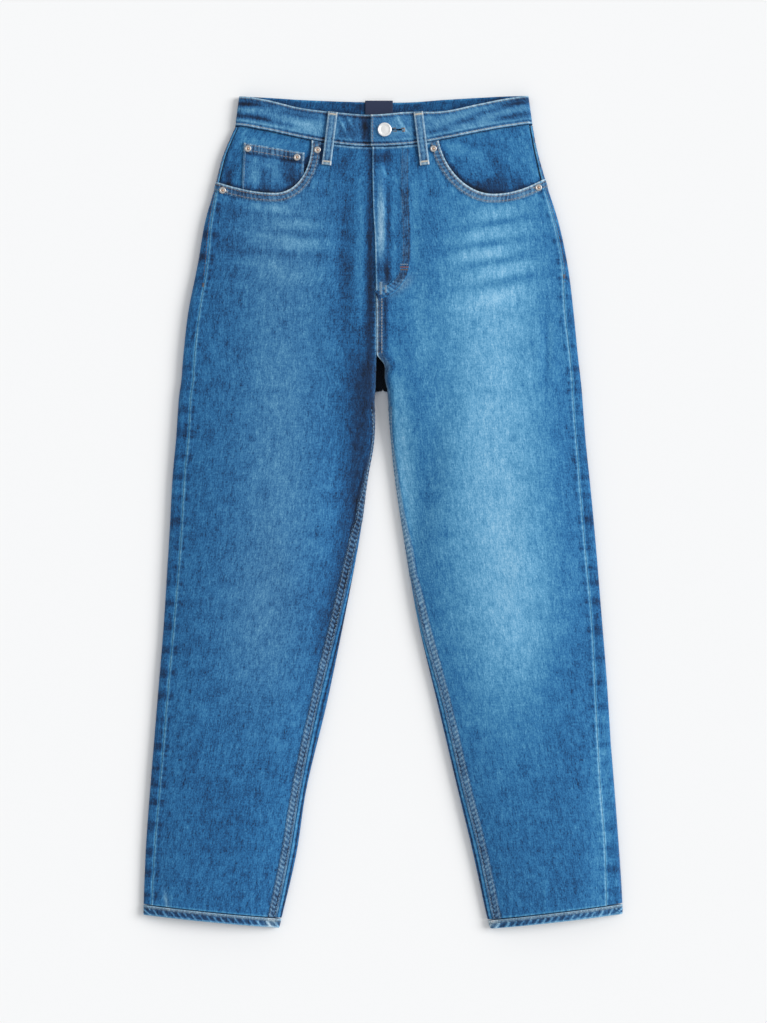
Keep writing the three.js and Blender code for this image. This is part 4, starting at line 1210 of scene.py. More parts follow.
def front_panel(half):
    grid = front_grid(half)
    grid.values["scoop"], grid.values["scoop_run"] = scoop_distance(half, grid.x, grid.down)
    grid.cut(grid["scoop"])
    x, down = grid.x, grid.down
    d_out, d_in, d_hem, d_waist = grid["d_out"], grid["d_in"], grid["d_bottom"], grid["d_top"]
    scoop, scoop_run = grid["scoop"], grid["scoop_run"]
    leg = smoothstep(down, 345, 385)
    inseam = leg * (1 - smoothstep(d_in, 9.5, 10.5))
    waist_gathers, hem_gathers = pucker(x, 8, 25), pucker(x, 7, 26)
    gathers = 0.22 * pucker(down, 7.5, 22) * (1 - smoothstep(d_out, 5, 9))
    relief = 0.3 * (1 - smoothstep(d_out, 5, 8)) + gathers
    relief += 0.2 * pucker(down, 9, 24) * (1 - smoothstep(d_in, 5, 12)) * (1 - smoothstep(down, 330, 370))
    relief += 0.3 * waist_gathers * (1 - smoothstep(d_waist, 2, 9))
    relief += 0.25 * hem_gathers * (1 - smoothstep(d_hem, 2, 9))
    level = dye_and_painted_shade(x, down)
    level += seam_wear(d_out, down, 31, 0.8) + 0.5 * bell(d_out, 1.8, 1.2)
    level += (1 - smoothstep(down, 312, 332)) * seam_wear(d_in, down, 32, 0.6)
    level -= 1.0 * spots_at(half, down) * bell(d_out, 5, 3.5)
    level += leg * (0.8 * bell(d_in, 0.7, 1.0) - 1.2 * bell(d_in, 2.2, 0.9) - 1.1 * bell(d_in, 10.8, 1.0))
    level += 0.9 * bell(scoop, 16, 4.5) * smoothstep(pucker(scoop_run, 19, 30), -0.4, 0.9)
    level -= 0.9 * bell(scoop, 12, 1.6)
    # light worn edge below the waist seam, and a painted shadow right at the seam under the band's lower edge
    level += 2.2 * bell(d_waist, 1.8, 1.3) - 1.8 * bell(d_waist, 0, 0.7)
    level += 0.6 * waist_gathers * (1 - smoothstep(d_waist, 2, 9))
    level += 0.7 * hem_gathers * (1 - smoothstep(d_hem, 2, 10)) + 1.6 * bell(d_hem, 0.8, 1.2)
    grey = bumps_at(x, down, GREY_PATCHES) + 0.45 * inseam + 0.4 * bell(d_waist, 1.8, 1.3)
    grey += 0.35 * (1 - leg) * bell(d_in, 0.7, 1.2) + 0.12 * bell(d_out, 0.3, 1.3)
    if half == "left":
        crotch_seam = smoothstep(down, 240, 252) * (1 - leg)
        fly = 1 - smoothstep(down, 312, 328)
        level += 0.8 * fly * bell(d_in, 0.7, 1.1)
        ridge = 0.8 * fly * bell(d_in, 1, 1.2)
        level += crotch_seam * (ridge - 0.6 * bell(d_in, 4, 2) - 1.5 * bell(d_in, 11, 3.2))
        grey += crotch_seam * 0.4 * (1 - smoothstep(d_in, 7, 9))
        level += 1.7 * smoothstep(pucker(x + 0.6 * down, 5.2, 37), -0.2, 0.8) * fly_crumple(x, down)
    cloth_piece(f"front_{half}", grid, CLOTH, relief, level, grey)


def back_panel(half, part, first, last):
    grid = back_grid(half, first, last, GAP / 2 if first else 0, GAP / 2)
    x, down = grid.x, grid.down
    d_out, d_in = grid["d_out"], grid["d_in"]
    relief = 0.2 * pucker(down, 7.5, 27) * (1 - smoothstep(d_out, 4, 9))
    level = dye_and_painted_shade(x, down, BROAD_PATCHES) + seam_wear(d_out, down, 33, 0.4)
    level += seam_wear(d_in, down, 34, 0.5)
    level += 0.5 * noise(down / 11, 0.5, 35) * (1 - smoothstep(d_out, 12, 24))
    level -= 0.2 + 0.9 * spots_at(half, down) * (1 - smoothstep(d_out, 10, 18))
    seam = 2.4 * bell(d_in, 2.4, 0.9) - 1.6 * bell(d_in, 0.4, 0.9) - 1.8 * bell(d_in, 4.6, 1.0)
    level += smoothstep(down, 480, 560) * seam
    crotch_shade = np.exp(-((x / 40) ** 2) - ((down - 350) / 50) ** 2)
    cloth_piece(f"{part}_{half}", grid, CLOTH, relief, level, under=INSIDE_LEVEL - 7 * crotch_shade)


def hem(half):
    grid = hem_grid(half)
    x, down = grid.x, grid.down
    d_seam, d_edge, around = grid["d_seam"], grid["d_edge"], grid["around"]
    twist = pucker(around - 0.8 * d_seam, 9, 28)
    relief = 0.4 * twist * smoothstep(d_seam, 2, 4) * smoothstep(grid.normals[:, 2], -0.1, 0.5)
    squares = smoothstep(d_seam, 3.4, 4.4) * smoothstep(d_edge, 0.6, 1.8)
    level = dye_and_painted_shade(x, down) + 0.5 + 3.0 * bell(d_seam, 0.6, 1.2) - 0.6 * bell(d_seam, 2.9, 0.8)
    pale = 4.6 if half == "left" else 3.6
    level += squares * (pale * smoothstep(twist, 0.1, 0.8) - 1.6) + 2.4 * bell(d_edge, 0.4, 1.4)
    level += 3.0 * bumps_at(x, down, HEM_GREY)
    grey = bumps_at(x, down, GREY_PATCHES) + 0.2
    grey += 0.6 * bell(d_seam, 2.9, 0.9) + 0.4 * bell(d_seam, 0.5, 1.2)
    cloth_piece(f"hem_{half}", grid, HEM_CLOTH, relief, level, grey)


def facing(half):
    grid = facing_grid(half)
    hidden = scoop_distance(half, grid.x, grid.down)[0]
    level = 1.9 + bumps_at(grid.x, grid.down, FACING_PATCHES) + 0.4 * noise(grid.x / 12, grid.down / 20, 41)
    # painted shadow of the pocket opening's edge on the facing, darkest next to it
    level -= 1.5 * smoothstep(hidden, -7, 0)
    cloth_piece(f"facing_{half}", grid, FACING_CLOTH, 0 * level, level)


for half in HALVES:
    front_panel(half)
    back_panel(half, "back", YOKE_ROW, HEM_ROW)
    back_panel(half, "yoke", 0, YOKE_ROW)
    hem(half)
    facing(half)

# The stitched edges of the pocket openings, inner seams and J of the fly, as fine strips on the front panels

STRIP_STEP, STRIP_CELL = 1.2, 0.8
EDGE_WIDTH = 11.2
J_HALF_WIDTH, J_CLOTH = 6.0, 0.2


def strip_grid(half, line, low, high, lift):
    """A strip along a plan line from one side distance to another, lift above the panel's mid surface."""
    run = np.concatenate([[0], np.cumsum(np.linalg.norm(np.diff(line, axis=0), axis=1))])
    places = np.linspace(0, run[-1], round(run[-1] / STRIP_STEP))
    middle = np.stack([np.interp(places, run, line[:, 0]), np.interp(places, run, line[:, 1])], -1)
    along = np.gradient(middle, axis=0)
    along /= np.linalg.norm(along, axis=1, keepdims=True)
    side = np.stack([-along[:, 1], along[:, 0]], -1)
    distance = np.linspace(low, high, max(6, round(abs(high - low) / STRIP_CELL)))[None, :]
    x = middle[:, :1] + side[:, :1] * distance
    down = middle[:, 1:] + side[:, 1:] * distance
    points, normals = front_surface(half, x, down)
    return Grid(points + normals * lift, normals, run=places[:, None], distance=distance, across=x)


def scoop_edge(half):
    turn = -INWARD[half]
    grid = strip_grid(half, bezier_line(SCOOP[half]), turn * 0.05, turn * EDGE_WIDTH, STRIP_LIFT)
    grid.cut(grid.down - band_at("front_bottom", grid.x) - 0.4)
    run, distance = grid["run"], np.abs(grid["distance"])
    ticks = smoothstep(pucker(run + 0.3 * distance, 4.8, 29), -0.1, 0.7)
    relief = 0.25 * pucker(run, 8, 21) + 0.12 * ticks - 0.3 * bell(distance, EDGE_WIDTH, 1.2)
    level = 0.85 * dye_and_painted_shade(grid.x, grid.down) - 0.5 + 1.5 * ticks + 0.5 * noise(run / 14, 0.5, 38)
    level += 3.4 * bell(distance, 0.9, 1.2) - 1.0 * bell(distance, 3.4, 1.0)
    grey = 0.5 - 0.2 * bell(distance, 6, 2) + 0.15 * bell(distance, 0.9, 1.3)
    cloth_piece(f"scoop_edge_{half}", grid, STRIP_CLOTH, relief, level, grey, replaces=False)


def inseam_edge(half):
    grid = inseam_grid(half)
    run, d_in = grid["run"], grid["d_in"]
    ropes = pucker(run + 0.5 * d_in, 5.6, 23)
    rungs = smoothstep(ropes, -0.3, 0.5) * smoothstep(d_in, 2.6, 3.8)
    relief = 0.25 * ropes - 0.3 * bell(d_in, 2.2, 0.8) - 0.3 * bell(d_in, INSEAM_WIDTH, 0.9)
    level = dye_and_painted_shade(grid.x, grid.down) - 0.5 + 2.0 * rungs * smoothstep(run, 0, 70)
    level = level + 0.4 * noise(run / 13, 0.5, 43)
    level += 1.6 * bell(d_in, 0.5, 1.0) - 1.3 * bell(d_in, 2.3, 0.9) - 1.2 * bell(d_in, INSEAM_WIDTH, 0.9)
    grey = 0.4 + 0.1 * noise(run / 21, 0.5, 44) + 0.1 * rungs
    cloth_piece(f"inseam_edge_{half}", grid, STRIP_CLOTH, relief, level, grey, replaces=False)


def fly_band():
    grid = strip_grid("left", smooth_line(J_LINE), -J_HALF_WIDTH, J_HALF_WIDTH, CLOTH / 2 + 0.05)
    run, distance = grid["run"], grid["distance"]
    side = np.abs(distance) / J_HALF_WIDTH
    ticks = smoothstep(pucker(run - 0.4 * distance, 5.2, 39), -0.2, 0.7)
    relief = 0.12 * ticks - 0.2 * smoothstep(side, 0.8, 1)
    middle = (1 - smoothstep(side, 0.55, 1)) * (0.3 + 0.7 * smoothstep(run, 0, 45))
    level = dye_and_painted_shade(grid.x, grid.down) + middle * (0.5 * ticks - 0.9 + 0.7 * noise(run / 9, distance / 5, 42))
    level -= 0.6 * bell(distance, -4.2, 1.4)
    level += (2.0 * ticks + 0.8) * fly_crumple(grid.x, grid.down)
    grey = (0.26 + 0.2 * noise(run / 16, 0.5, 40)) * middle
    cloth_piece("fly_stitch_band", grid, J_CLOTH, relief, level, grey, replaces=False)


for make_edge in (scoop_edge, inseam_edge):
    for half in HALVES:
        make_edge(half)
fly_band()

# Waistband


def waistband():
    grid = band_grid()
    beside = np.maximum(BUTTON_X - grid.x, grid.x - SLIT_END)
    slit = np.maximum(np.abs(grid.down - BUTTON_DOWN) - SLIT_WIDTH / 2, beside)
    eye = np.hypot(grid.x - BUTTON_X, grid.down - BUTTON_DOWN) - EYE_RADIUS
    grid.cut(np.where(grid["left_end"] > 0.5, np.minimum(slit, eye), 1.0))
    x, down = grid.x, grid.down
    d_top, d_bottom, along = grid["d_top"], grid["d_bottom"], grid["along"]
    upper = pucker(along, 9, 52) * (1 - smoothstep(d_top, 2, 7))
    lower = pucker(along, 8, 51) * (1 - smoothstep(d_bottom, 3, 8))
    relief = 0.3 * lower + 0.15 * upper - 0.35 * bell(d_bottom, 4.4, 0.9)
    level = dye_and_painted_shade(x, down) + 0.2 + 0.5 * noise(x / 24, (down - 0.12 * x * np.sign(-x)) / 6, 54)
    level += 2.8 * bell(d_top, 0.6, 1.2) - 1.1 * bell(d_top, 3.6, 1.4)
    # light edge near the bottom, and a painted shadow along the band's lower edge
    level += 2.3 * bell(d_bottom, 1.9, 1.0) - 1.8 * bell(d_bottom, 0, 0.8)
    level += 0.9 * bell(d_bottom, 6.8, 1.3) - 1.7 * bell(d_bottom, 4.4, 1.1)
    level += 0.8 * lower + 0.6 * upper
    end_line = np.where(grid["left_end"] > 0.5, bell(grid["d_end"], 0.8, 1.2), 0)
    level += 2.2 * end_line
    grey = 0.5 * bell(d_top, 0.6, 1.4) + 0.45 * bell(d_bottom, 1.9, 1.2) + 0.5 * end_line + 0.12
    inner_edge = 2.2 * bell(d_top, 0.5, 1.4) * smoothstep(noise(x / 9, 0.5, 55), -0.6, 0.6)
    inner_level = 0.5 + 0.8 * noise(x / 24, down / 7, 53) + inner_edge
    cloth_piece("waistband", grid, BAND_CLOTH, relief, level, grey, inner_level, (denim, denim))


waistband()

# Belt loops, coin pocket, zip, label and back pockets

LOOP_BOW = 1.2
COIN_STEP = 0.625  # of the coin pocket's grid, in cells
ZIP_CLOTH, ZIP_BEFORE, ZIP_AFTER, ZIP_TOP, ZIP_BOTTOM = 1.2, 9, 20, 68, 236
LABEL_X, LABEL_DOWN, LABEL_WIDTH, LABEL_LENGTH, LABEL_CLOTH = -5, 17, 34, 22, 1


def loop_rise(f):
    """A front loop's height over the panel: it bows, and its lower end comes down to the panel."""
    drop = ((BAND_CLOTH - CLOTH) / 2) * smoothstep(f, 0.7, 1)
    return BAND_CLOTH / 2 + GAP + LOOP_CLOTH / 2 + LOOP_BOW * np.sin(math.pi * f) - drop


def front_loop(name, top, bottom):
    grid = bar_grid("right" if top[0] < 0 else "left", top, bottom, LOOP_WIDTH, loop_rise)
    along, across = grid["along"], grid["across"]
    length = along.max()
    ends = 1 - smoothstep(np.minimum(along, length - along), 4, 6)
    edge = LOOP_WIDTH / 2 - np.abs(across)
    waves = pucker(along, 6, 61)
    relief = 0.55 * ends + 0.3 * smoothstep(edge, 0, 1.5) - 0.25 * bell(edge, 2.6, 0.8) + 0.12 * waves
    level = 2.7 + 2.2 * bell(edge, 0.6, 1.1) - 1.8 * bell(edge, 2.7, 0.9) + 0.5 * ends + 0.5 * waves
    level -= 1.6 * bell(along, length - 6.5, 1.1) - 1.2 * bell(along, length - 2.5, 2)
    grey = 0.3 + 0.3 * bell(edge, 0.6, 1.2) + 0.4 * ends
    cloth_piece(name, grid, LOOP_CLOTH, relief, level, grey)


def coin_pocket():
    top_outer, top_inner, bottom_inner, bottom_outer = COIN_CORNERS
    f = np.linspace(0, 1, round(60 / CELL / COIN_STEP))[:, None, None]
    g = np.linspace(0, 1, round(75 / CELL / COIN_STEP))[None, :, None]
    plan = (top_outer * (1 - g) + top_inner * g) * (1 - f) + (bottom_outer * (1 - g) + bottom_inner * g) * f
    points, normals = front_surface("right", plan[..., 0], plan[..., 1])
    points = points + normals * (FACING_CLOTH / 2 + GAP + COIN_CLOTH / 2 - FACING_DEPTH)
    d_mouth, d_side = run_along(points, 0), run_along(points, 1)
    d_inner = d_side[:, -1:] - d_side
    grid = Grid(points, normals, d_mouth=d_mouth, d_outer=d_side, d_inner=d_inner, across=d_side)
    grid.cut(-scoop_distance("right", grid.x, grid.down)[0] - GAP)
    d_mouth, d_side = grid["d_mouth"], np.minimum(grid["d_outer"], grid["d_inner"])
    mouth = 1 - smoothstep(d_mouth, 10.5, 11.5)
    waves = pucker(grid["across"], 5.6, 62)
    ticks = smoothstep(waves, -0.2, 0.6)
    relief = 0.55 * mouth + 0.22 * waves * mouth + 0.35 * (1 - smoothstep(d_side, 2, 5))
    level = 1.5 + mouth * (1.8 * ticks - 0.8) + 2.6 * bell(d_mouth, 0.6, 1.1) + 1.7 * bell(d_side, 0.6, 1.1)
    level -= 1.5 * bell(d_mouth, 12.4, 1.6) - 0.5 * bell(d_mouth, 17, 3) * ticks
    level += bumps_at(grid.x, grid.down, COIN_PATCHES) + 0.3 * noise(grid.x / 8, grid.down / 10, 63)
    # painted shadow of the pocket opening's edge on the coin pocket, darkest next to it
    level -= 1.3 * smoothstep(scoop_distance("right", grid.x, grid.down)[0], -6, 0)
    grey = 0.3 * mouth + 0.35 * bell(d_side, 0.6, 1.4) + 0.08
    cloth_piece("coin_pocket", grid, COIN_CLOTH, relief, level, grey)


def zip_strip():
    down = np.linspace(ZIP_TOP, ZIP_BOTTOM, 60)[:, None]
    edge_x = np.interp(down, [row[3] for row in PLAN["right"]], [row[2] for row in PLAN["right"]])
    across = np.linspace(-ZIP_BEFORE, ZIP_AFTER, 20)[None, :]
    x = edge_x + across
    points, _ = front_surface("right", np.minimum(x, edge_x), down)
    grid = flat_grid(x, down, points[..., 2] - (CLOTH / 2 + GAP + ZIP_CLOTH / 2), UP, across=across)
    flat = np.zeros(len(grid.points))
    faces = (zip_tape, zip_tape)
    cloth_piece("fly_zip", grid, ZIP_CLOTH, flat, flat, materials=faces, slot="zip_tape", name="zip_strip")


def label():
    x = LABEL_X + LABEL_WIDTH * np.linspace(-0.5, 0.5, 35)[None, :]
    down = LABEL_DOWN + LABEL_LENGTH * np.linspace(-0.5, 0.5, 23)[:, None]
    side = LABEL_WIDTH / 2 - np.abs(x - LABEL_X)
    grid = flat_grid(x, down, SEAT_LIFT + BAND_CLOTH + GAP + LABEL_CLOTH / 2, UP, across=x, side=side)
    relief = -0.3 * (1 - smoothstep(grid["side"], 0, 1.2))
    faces = (label_cloth, label_cloth)
    looks = {"materials": faces, "slot": "label", "name": "label_plain"}
    cloth_piece("label", grid, LABEL_CLOTH, relief, 0 * relief, **looks)


def polygon_depth(x, down, corners):
    """Distance inside a convex outline, negative outside."""
    depth = np.full(x.shape, FAR)
    middle_x, middle_down = np.mean(corners, axis=0)
    for (ax, ay), (bx, by) in zip(corners, corners[1:] + corners[:1]):
        length = math.hypot(bx - ax, by - ay)
        sign = 1 if (bx - ax) * (middle_down - ay) - (by - ay) * (middle_x - ax) > 0 else -1
        depth = np.minimum(depth, sign * ((bx - ax) * (down - ay) - (by - ay) * (x - ax)) / length)
    return depth


def back_pocket(half):
    x0 = -INWARD[half] * POCKET_CENTRE_X
    corners = [
        (x0 - POCKET_WIDTH / 2, POCKET_TOP),
        (x0 - POCKET_BASE_WIDTH / 2, POCKET_TOP + POCKET_SIDE),
        (x0, POCKET_TOP + POCKET_POINT),
        (x0 + POCKET_BASE_WIDTH / 2, POCKET_TOP + POCKET_SIDE),
        (x0 + POCKET_WIDTH / 2, POCKET_TOP),
    ]
    x = x0 + (POCKET_WIDTH + 4) * np.linspace(-0.5, 0.5, round(150 / CELL))[None, :]
    down = POCKET_TOP - 2 + (POCKET_POINT + 4) * np.linspace(0, 1, round(154 / CELL))[:, None]
    grid = flat_grid(x, down, PATCH_CLOTH / 2, DOWN, across=x - x0)
    grid.cut(polygon_depth(grid.x, grid.down, corners))
    depth = polygon_depth(grid.x, grid.down, corners)
    top = grid.down - POCKET_TOP
    relief = -0.3 * bell(depth, 3.5, 1.2) - 0.3 * bell(top, 12, 1.2) - 0.25 * (1 - smoothstep(depth, 0, 1.2))
    level = 2.0 + 1.4 * bell(depth, 0.3, 1.3) + 0.4 * noise(grid.x / 14, grid.down / 20, 64)
    level -= 0.5 * bell(depth, 4, 3)
    cloth_piece(f"back_pocket_{half}", grid, PATCH_CLOTH, relief, level)


def back_loop(name, x0, down0):
    x = x0 + LOOP_WIDTH * np.linspace(-0.5, 0.5, 11)[None, :]
    down = down0 + BACK_LOOP_LENGTH * np.linspace(0, 1, 40)[:, None]
    side = LOOP_WIDTH / 2 - np.abs(x - x0)
    grid = flat_grid(x, down, PATCH_CLOTH / 2, DOWN, across=x - x0, edge=side)
    edge = grid["edge"]
    relief = -0.3 * (1 - smoothstep(edge, 0, 1.5)) - 0.2 * bell(edge, 2.6, 0.8)
    cloth_piece(name, grid, PATCH_CLOTH, relief, 1.6 + 1.8 * bell(edge, 0.2, 1.1))


for name, (top, bottom) in FRONT_LOOPS.items():
    front_loop(name, top, bottom)
coin_pocket()
zip_strip()
label()
for half in HALVES:
    back_pocket(half)
for name, (x0, down0) in BACK_LOOPS.items():
    back_loop(name, x0, down0)

# Button and rivets

RIVET_GAP = 0.6
RIVET_RISE = 0.3  # from the top of the gap to the zero height of the profiles
# Radius and height from the lower end to the top
CAP_PROFILE = [
    (2.3, 0),
    (8.0, 0),
    (8.6, 0.6),
    (8.6, 1.6),
    (8.1, 2.5),
    (7.3, 2.8),
    (6.6, 2.5),
    (6.0, 1.9),
    (4.4, 1.9),
    (2.5, 2.15),
    (0, 2.25),
]
SHANK_RADIUS = 2.1
RIVET_PROFILE = [
    (0, -0.4),
    (3.9, -0.4),
    (4.2, 0.1),
    (4.1, 0.7),
    (3.5, 1.15),
    (2.6, 1.2),
    (2.0, 0.85),
    (1.7, 0.75),
    (0, 0.75),
]
NIPPLE_PROFILE = [(0, 0.6), (1.6, 0.6), (1.6, 0.95), (1.2, 1.3), (0.6, 1.45), (0, 1.5)]
RIVETS = {
    "rivet_coin_outer": ("right", -165, 65.5),
    "rivet_coin_inner": ("right", -105, 76.5),
    "rivet_scoop_right": ("right", -80, 67.5),
    "rivet_scoop_left": ("left", 61.5, 66),
    "rivet_side_right": ("right", -196, 116.5),
    "rivet_side_left": ("left", 190, 113),
}


def turned_faces(sides, rings):
    """Triangles at the ends and quads between, for an end point, rings of points and another end point."""
    i = np.arange(sides)
    j = (i + 1) % sides
    last = 1 + (rings - 1) * sides
    caps = [
        np.stack([np.zeros(sides, int), 1 + j, 1 + i], -1),
        np.stack([np.full(sides, last + sides), last + i, last + j], -1),
    ]
    quads = [np.stack([k + i, k + j, k + sides + j, k + sides + i], -1) for k in range(1, last, sides)]
    return np.vstack(caps), np.vstack(quads)


def lathe(name, profile, place, normal, material, sides):
    """A turned piece: profile of radius and height in millimetres from its lower end to its top."""
    angle = 2 * math.pi * np.arange(sides) / sides
    ring = np.stack([np.cos(angle), np.sin(angle)], -1)
    turn = Vector(UP).rotation_difference(Vector(normal)).to_matrix()
    rings = [np.column_stack([ring * radius, np.full(sides, height)]) for radius, height in profile[1:-1]]
    vertices = np.vstack([(0, 0, profile[0][1]), *rings, (0, 0, profile[-1][1])])
    vertices = vertices @ np.array(turn).T + np.array(place)
    return make_mesh(name, vertices, turned_faces(sides, len(rings)), (material,))


def band_top(half, x):
    """The height of the waistband's outer face."""
    level = band_level(half, abs(x - PLAN[half][0][0])).item()
    return level + float(lap_at(half, x)) + BAND_CLOTH / 2


def button():
    low, high = band_top("right", BUTTON_X), band_top("left", BUTTON_X) + GAP
    crease = float(creases_at(np.array([BUTTON_X]), np.array([BUTTON_DOWN]))[0])
    profile = [(0, low - high), (SHANK_RADIUS, low - high), *CAP_PROFILE]
    place = (BUTTON_X, -BUTTON_DOWN, high + crease)
    pieces["button"] = lathe("button_plain", profile, place, UP, pale_metal, 64)
    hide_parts("button")


def rivet(name, half, x, down):
    point, normal = front_surface(half, np.array([float(x)]), np.array([float(down)]))
    on_coin = name.startswith("rivet_coin")
    clear = FACING_CLOTH / 2 + GAP + COIN_CLOTH - FACING_DEPTH if on_coin else CLOTH / 2
    place = point[0] + normal[0] * (clear + RIVET_GAP + RIVET_RISE)
    pieces[name] = lathe(f"{name}_cap", RIVET_PROFILE, place, normal[0], silver, 32)
    lathe(f"{name}_centre", NIPPLE_PROFILE, place, normal[0], copper, 20)
    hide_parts(name)


button()
for name, (half, x, down) in RIVETS.items():
    rivet(name, half, x, down)

# Stitches, threads and bar tacks

bpy.context.view_layer.update()
depsgraph = bpy.context.evaluated_depsgraph_get()
trees = {}
threads = {}

THREAD_SIDES = 5
THREAD_RADIUS = 0.32
THREAD_PROUD = 0.12
STITCH_PITCH, STITCH_LENGTH = 3.8, 2.9
STITCH_DROP = 3  # a stitch whose ends and middle lie further apart in height than this is left out
UNDER_PROUD = 0.05  # how far a stitch stands out of the underside, which lies on the floor
TACK_RADIUS, TACK_PROUD, TACK_PITCH, TACK_LEAN = 0.33, 0.3, 0.62, 0.3
RAY_ABOVE, RAY_BELOW = 0.1, -0.05  # where the rays that find the cloth start, in metres


def tree_of(name):
    if name not in trees:
        trees[name] = BVHTree.FromObject(pieces[name], depsgraph)
    return trees[name]


def lay_on(points, carriers, below=False):
    """Heights in millimetres of the carriers' outermost face at plan points, or None where there is none."""
    start, way = (RAY_BELOW, UP) if below else (RAY_ABOVE, DOWN)
    heights = []
    for x, down in points:
        origin = Vector((x * MM, (CENTRE_DOWN - down) * MM, start))
        hits = [tree_of(name).ray_cast(origin, Vector(way))[0] for name in carriers]
        found = [hit.z / MM for hit in hits if hit is not None]
        heights.append((min if below else max)(found) if found else None)
    return heights


def offset_line(line, distance):
    """A line moved sideways, to the right of its own direction on the plan."""
    along = np.gradient(np.asarray(line, float), axis=0)
    along /= np.linalg.norm(along, axis=1, keepdims=True)
    return line + distance * np.stack([-along[:, 1], along[:, 0]], -1)


def point_along(line, run, place):
    return np.array([np.interp(place, run, line[:, 0]), np.interp(place, run, line[:, 1])])


def add_thread(group, thread, start, end, radius, proud, carriers, below=False):
    """One stitch between two plan points, dipping into the cloth at both ends."""
    middle = (np.asarray(start) + np.asarray(end)) / 2
    heights = lay_on([start, middle, end], carriers, below)
    if any(height is None for height in heights) or max(heights) - min(heights) > STITCH_DROP:
        return
    dip, rise = (0.9 * radius, radius - UNDER_PROUD) if below else (-0.3 * radius, proud)
    first, peak, last = (
        np.array((x, -down, height + lift))
        for (x, down), height, lift in zip((start, middle, end), heights, (dip, rise, dip))
    )
    direction = (last - first) / np.linalg.norm(last - first)
    side = np.cross(direction, UP)
    side /= np.linalg.norm(side)
    up = np.cross(side, direction)
    angle = 2 * math.pi * np.arange(THREAD_SIDES) / THREAD_SIDES
    ring = radius * (np.cos(angle)[:, None] * side + np.sin(angle)[:, None] * up)
    tip = direction * radius * 0.7
    vertices = np.vstack([first - tip, first + ring * 0.7, peak + ring, last + ring * 0.7, last + tip])
    threads.setdefault((group, thread), []).append(vertices)


def stitch_row(group, thread, line, carriers, below=False, radius=THREAD_RADIUS):
    line = np.asarray(line, float)
    step = np.linalg.norm(np.diff(line, axis=0), axis=1)
    run = np.concatenate([[0], np.cumsum(step)])
    for place in np.arange(STITCH_PITCH / 2, run[-1] - STITCH_LENGTH / 2, STITCH_PITCH):
        start = point_along(line, run, place - STITCH_LENGTH / 2)
        end = point_along(line, run, place + STITCH_LENGTH / 2)
        add_thread(group, thread, start, end, radius, THREAD_PROUD, carriers, below)


def bar_tack(group, thread, centre, turn, length, width, carriers):
    """Close threads across a short bar."""
    cos, sin = math.cos(math.radians(turn)), math.sin(math.radians(turn))
    for number, place in enumerate(np.arange(-length / 2, length / 2 + 0.01, TACK_PITCH)):
        lean = TACK_LEAN if number % 2 else -TACK_LEAN
        x, down = centre[0] + cos * place, centre[1] + sin * place
        start = (x - sin * width / 2 - cos * lean, down + cos * width / 2 - sin * lean)
        end = (x + sin * width / 2 + cos * lean, down - cos * width / 2 + sin * lean)
        add_thread(group, thread, start, end, TACK_RADIUS, TACK_PROUD, carriers)


def seam_path(half, edge, distance, from_down, to_down):
    """Plan points of the top layer at a distance in from the panel's side seam or inner seam."""
    row = rows_at(half, fine_places(half, 0, HEM_ROW, 4))
    turn = 1 if edge == "out" else -1
    arc = arc_of(row, row[edge + "_seam"], CLOTH) + distance
    across = fold_point(row, arc, CLOTH, row["edge"])["across"]
    x = row[edge + "_x"] + turn * row["along_x"] * across
    down = row[edge + "_down"] + turn * row["along_down"] * across
    chosen = (down >= from_down) & (down <= to_down)
    return np.stack([x[chosen], down[chosen]], -1)


def thread_object(group, thread, stitches):
    """All stitches of one group and colour as one object."""
    start = (2 + 3 * THREAD_SIDES) * np.arange(len(stitches))[:, None, None]
    caps, quads = turned_faces(THREAD_SIDES, 3)
    faces = [(caps[None] + start).reshape(-1, 3), (quads[None] + start).reshape(-1, 4)]
    make_mesh(f"{group}_{thread}", np.vstack(stitches), faces, (THREADS[thread],))


FRONTS = ("front_right", "front_left")
ON_FLY = (*FRONTS, "fly_stitch_band")
# Group, thread, centre's X and down, turn in degrees, length, width and what it lies on
BAR_TACKS = [
    ("stitches_fly", "red", 26, 211, 0, 10, 2.2, ON_FLY),
    ("stitches_fly", "pale", 26, 207.8, 0, 9, 1.4, ON_FLY),
    ("stitches_fly", "brown", 26, 214.2, 0, 9, 1.6, ON_FLY),
    ("stitches_fly", "pale", -2.6, 237, 90, 15, 3.6, ON_FLY),
    ("stitches_fly", "pale", 3.4, 238, 90, 9, 3.0, ON_FLY),
    ("stitches_side", "brown", -219.5, 230, 96, 9, 2.6, ("back_right", "front_right")),
    ("stitches_side", "brown", 221.5, 224, 84, 9, 2.6, ("back_left", "front_left")),
    ("stitches_pockets", "cream", -189.4, 117.4, 0, 3.6, 4.2, ("front_right",)),
    ("stitches_pockets", "cream", 183.6, 113.6, 0, 3.6, 4.2, ("front_left",)),
]
BUTTONHOLE_START, BUTTONHOLE_PITCH, BUTTONHOLE_COUNT, BUTTONHOLE_END = 11.5, 0.8, 18, 26


def front_stitches():
    for half in HALVES:
        line = bezier_line(SCOOP[half])
        for distance in (3.2, 9.0):
            edge = offset_line(line, -INWARD[half] * distance)
            stitch_row("stitches_pockets", "tan", edge, (f"scoop_edge_{half}",))
        for distance in (1.9, 8.3):
            path = seam_path(half, "in", distance, 385, 1010)
            stitch_row(f"stitches_inseam_{half}", "pale", path, (f"inseam_edge_{half}",))
        path = seam_path(half, "out", -2.4, 50, 226)
        stitch_row("stitches_side", "brown", path, (f"back_{half}", f"yoke_{half}"))


def waistband_stitches():
    band = ("waistband",)
    x = np.linspace(-178, 178, 120)
    for name, inset, thread in (("top", 2.3, "brown"), ("bottom", -2.9, "tan")):
        for face, group in (("front", "stitches_waistband"), ("back", "stitches_waistband_back")):
            line = np.stack([x, band_at(f"{face}_{name}", x) + inset], -1)
            stitch_row(group, thread, line, band, below=face == "back")
    stitch_row("stitches_waistband", "tan", [(-12.4, 28), (-12.4, 60)], band)


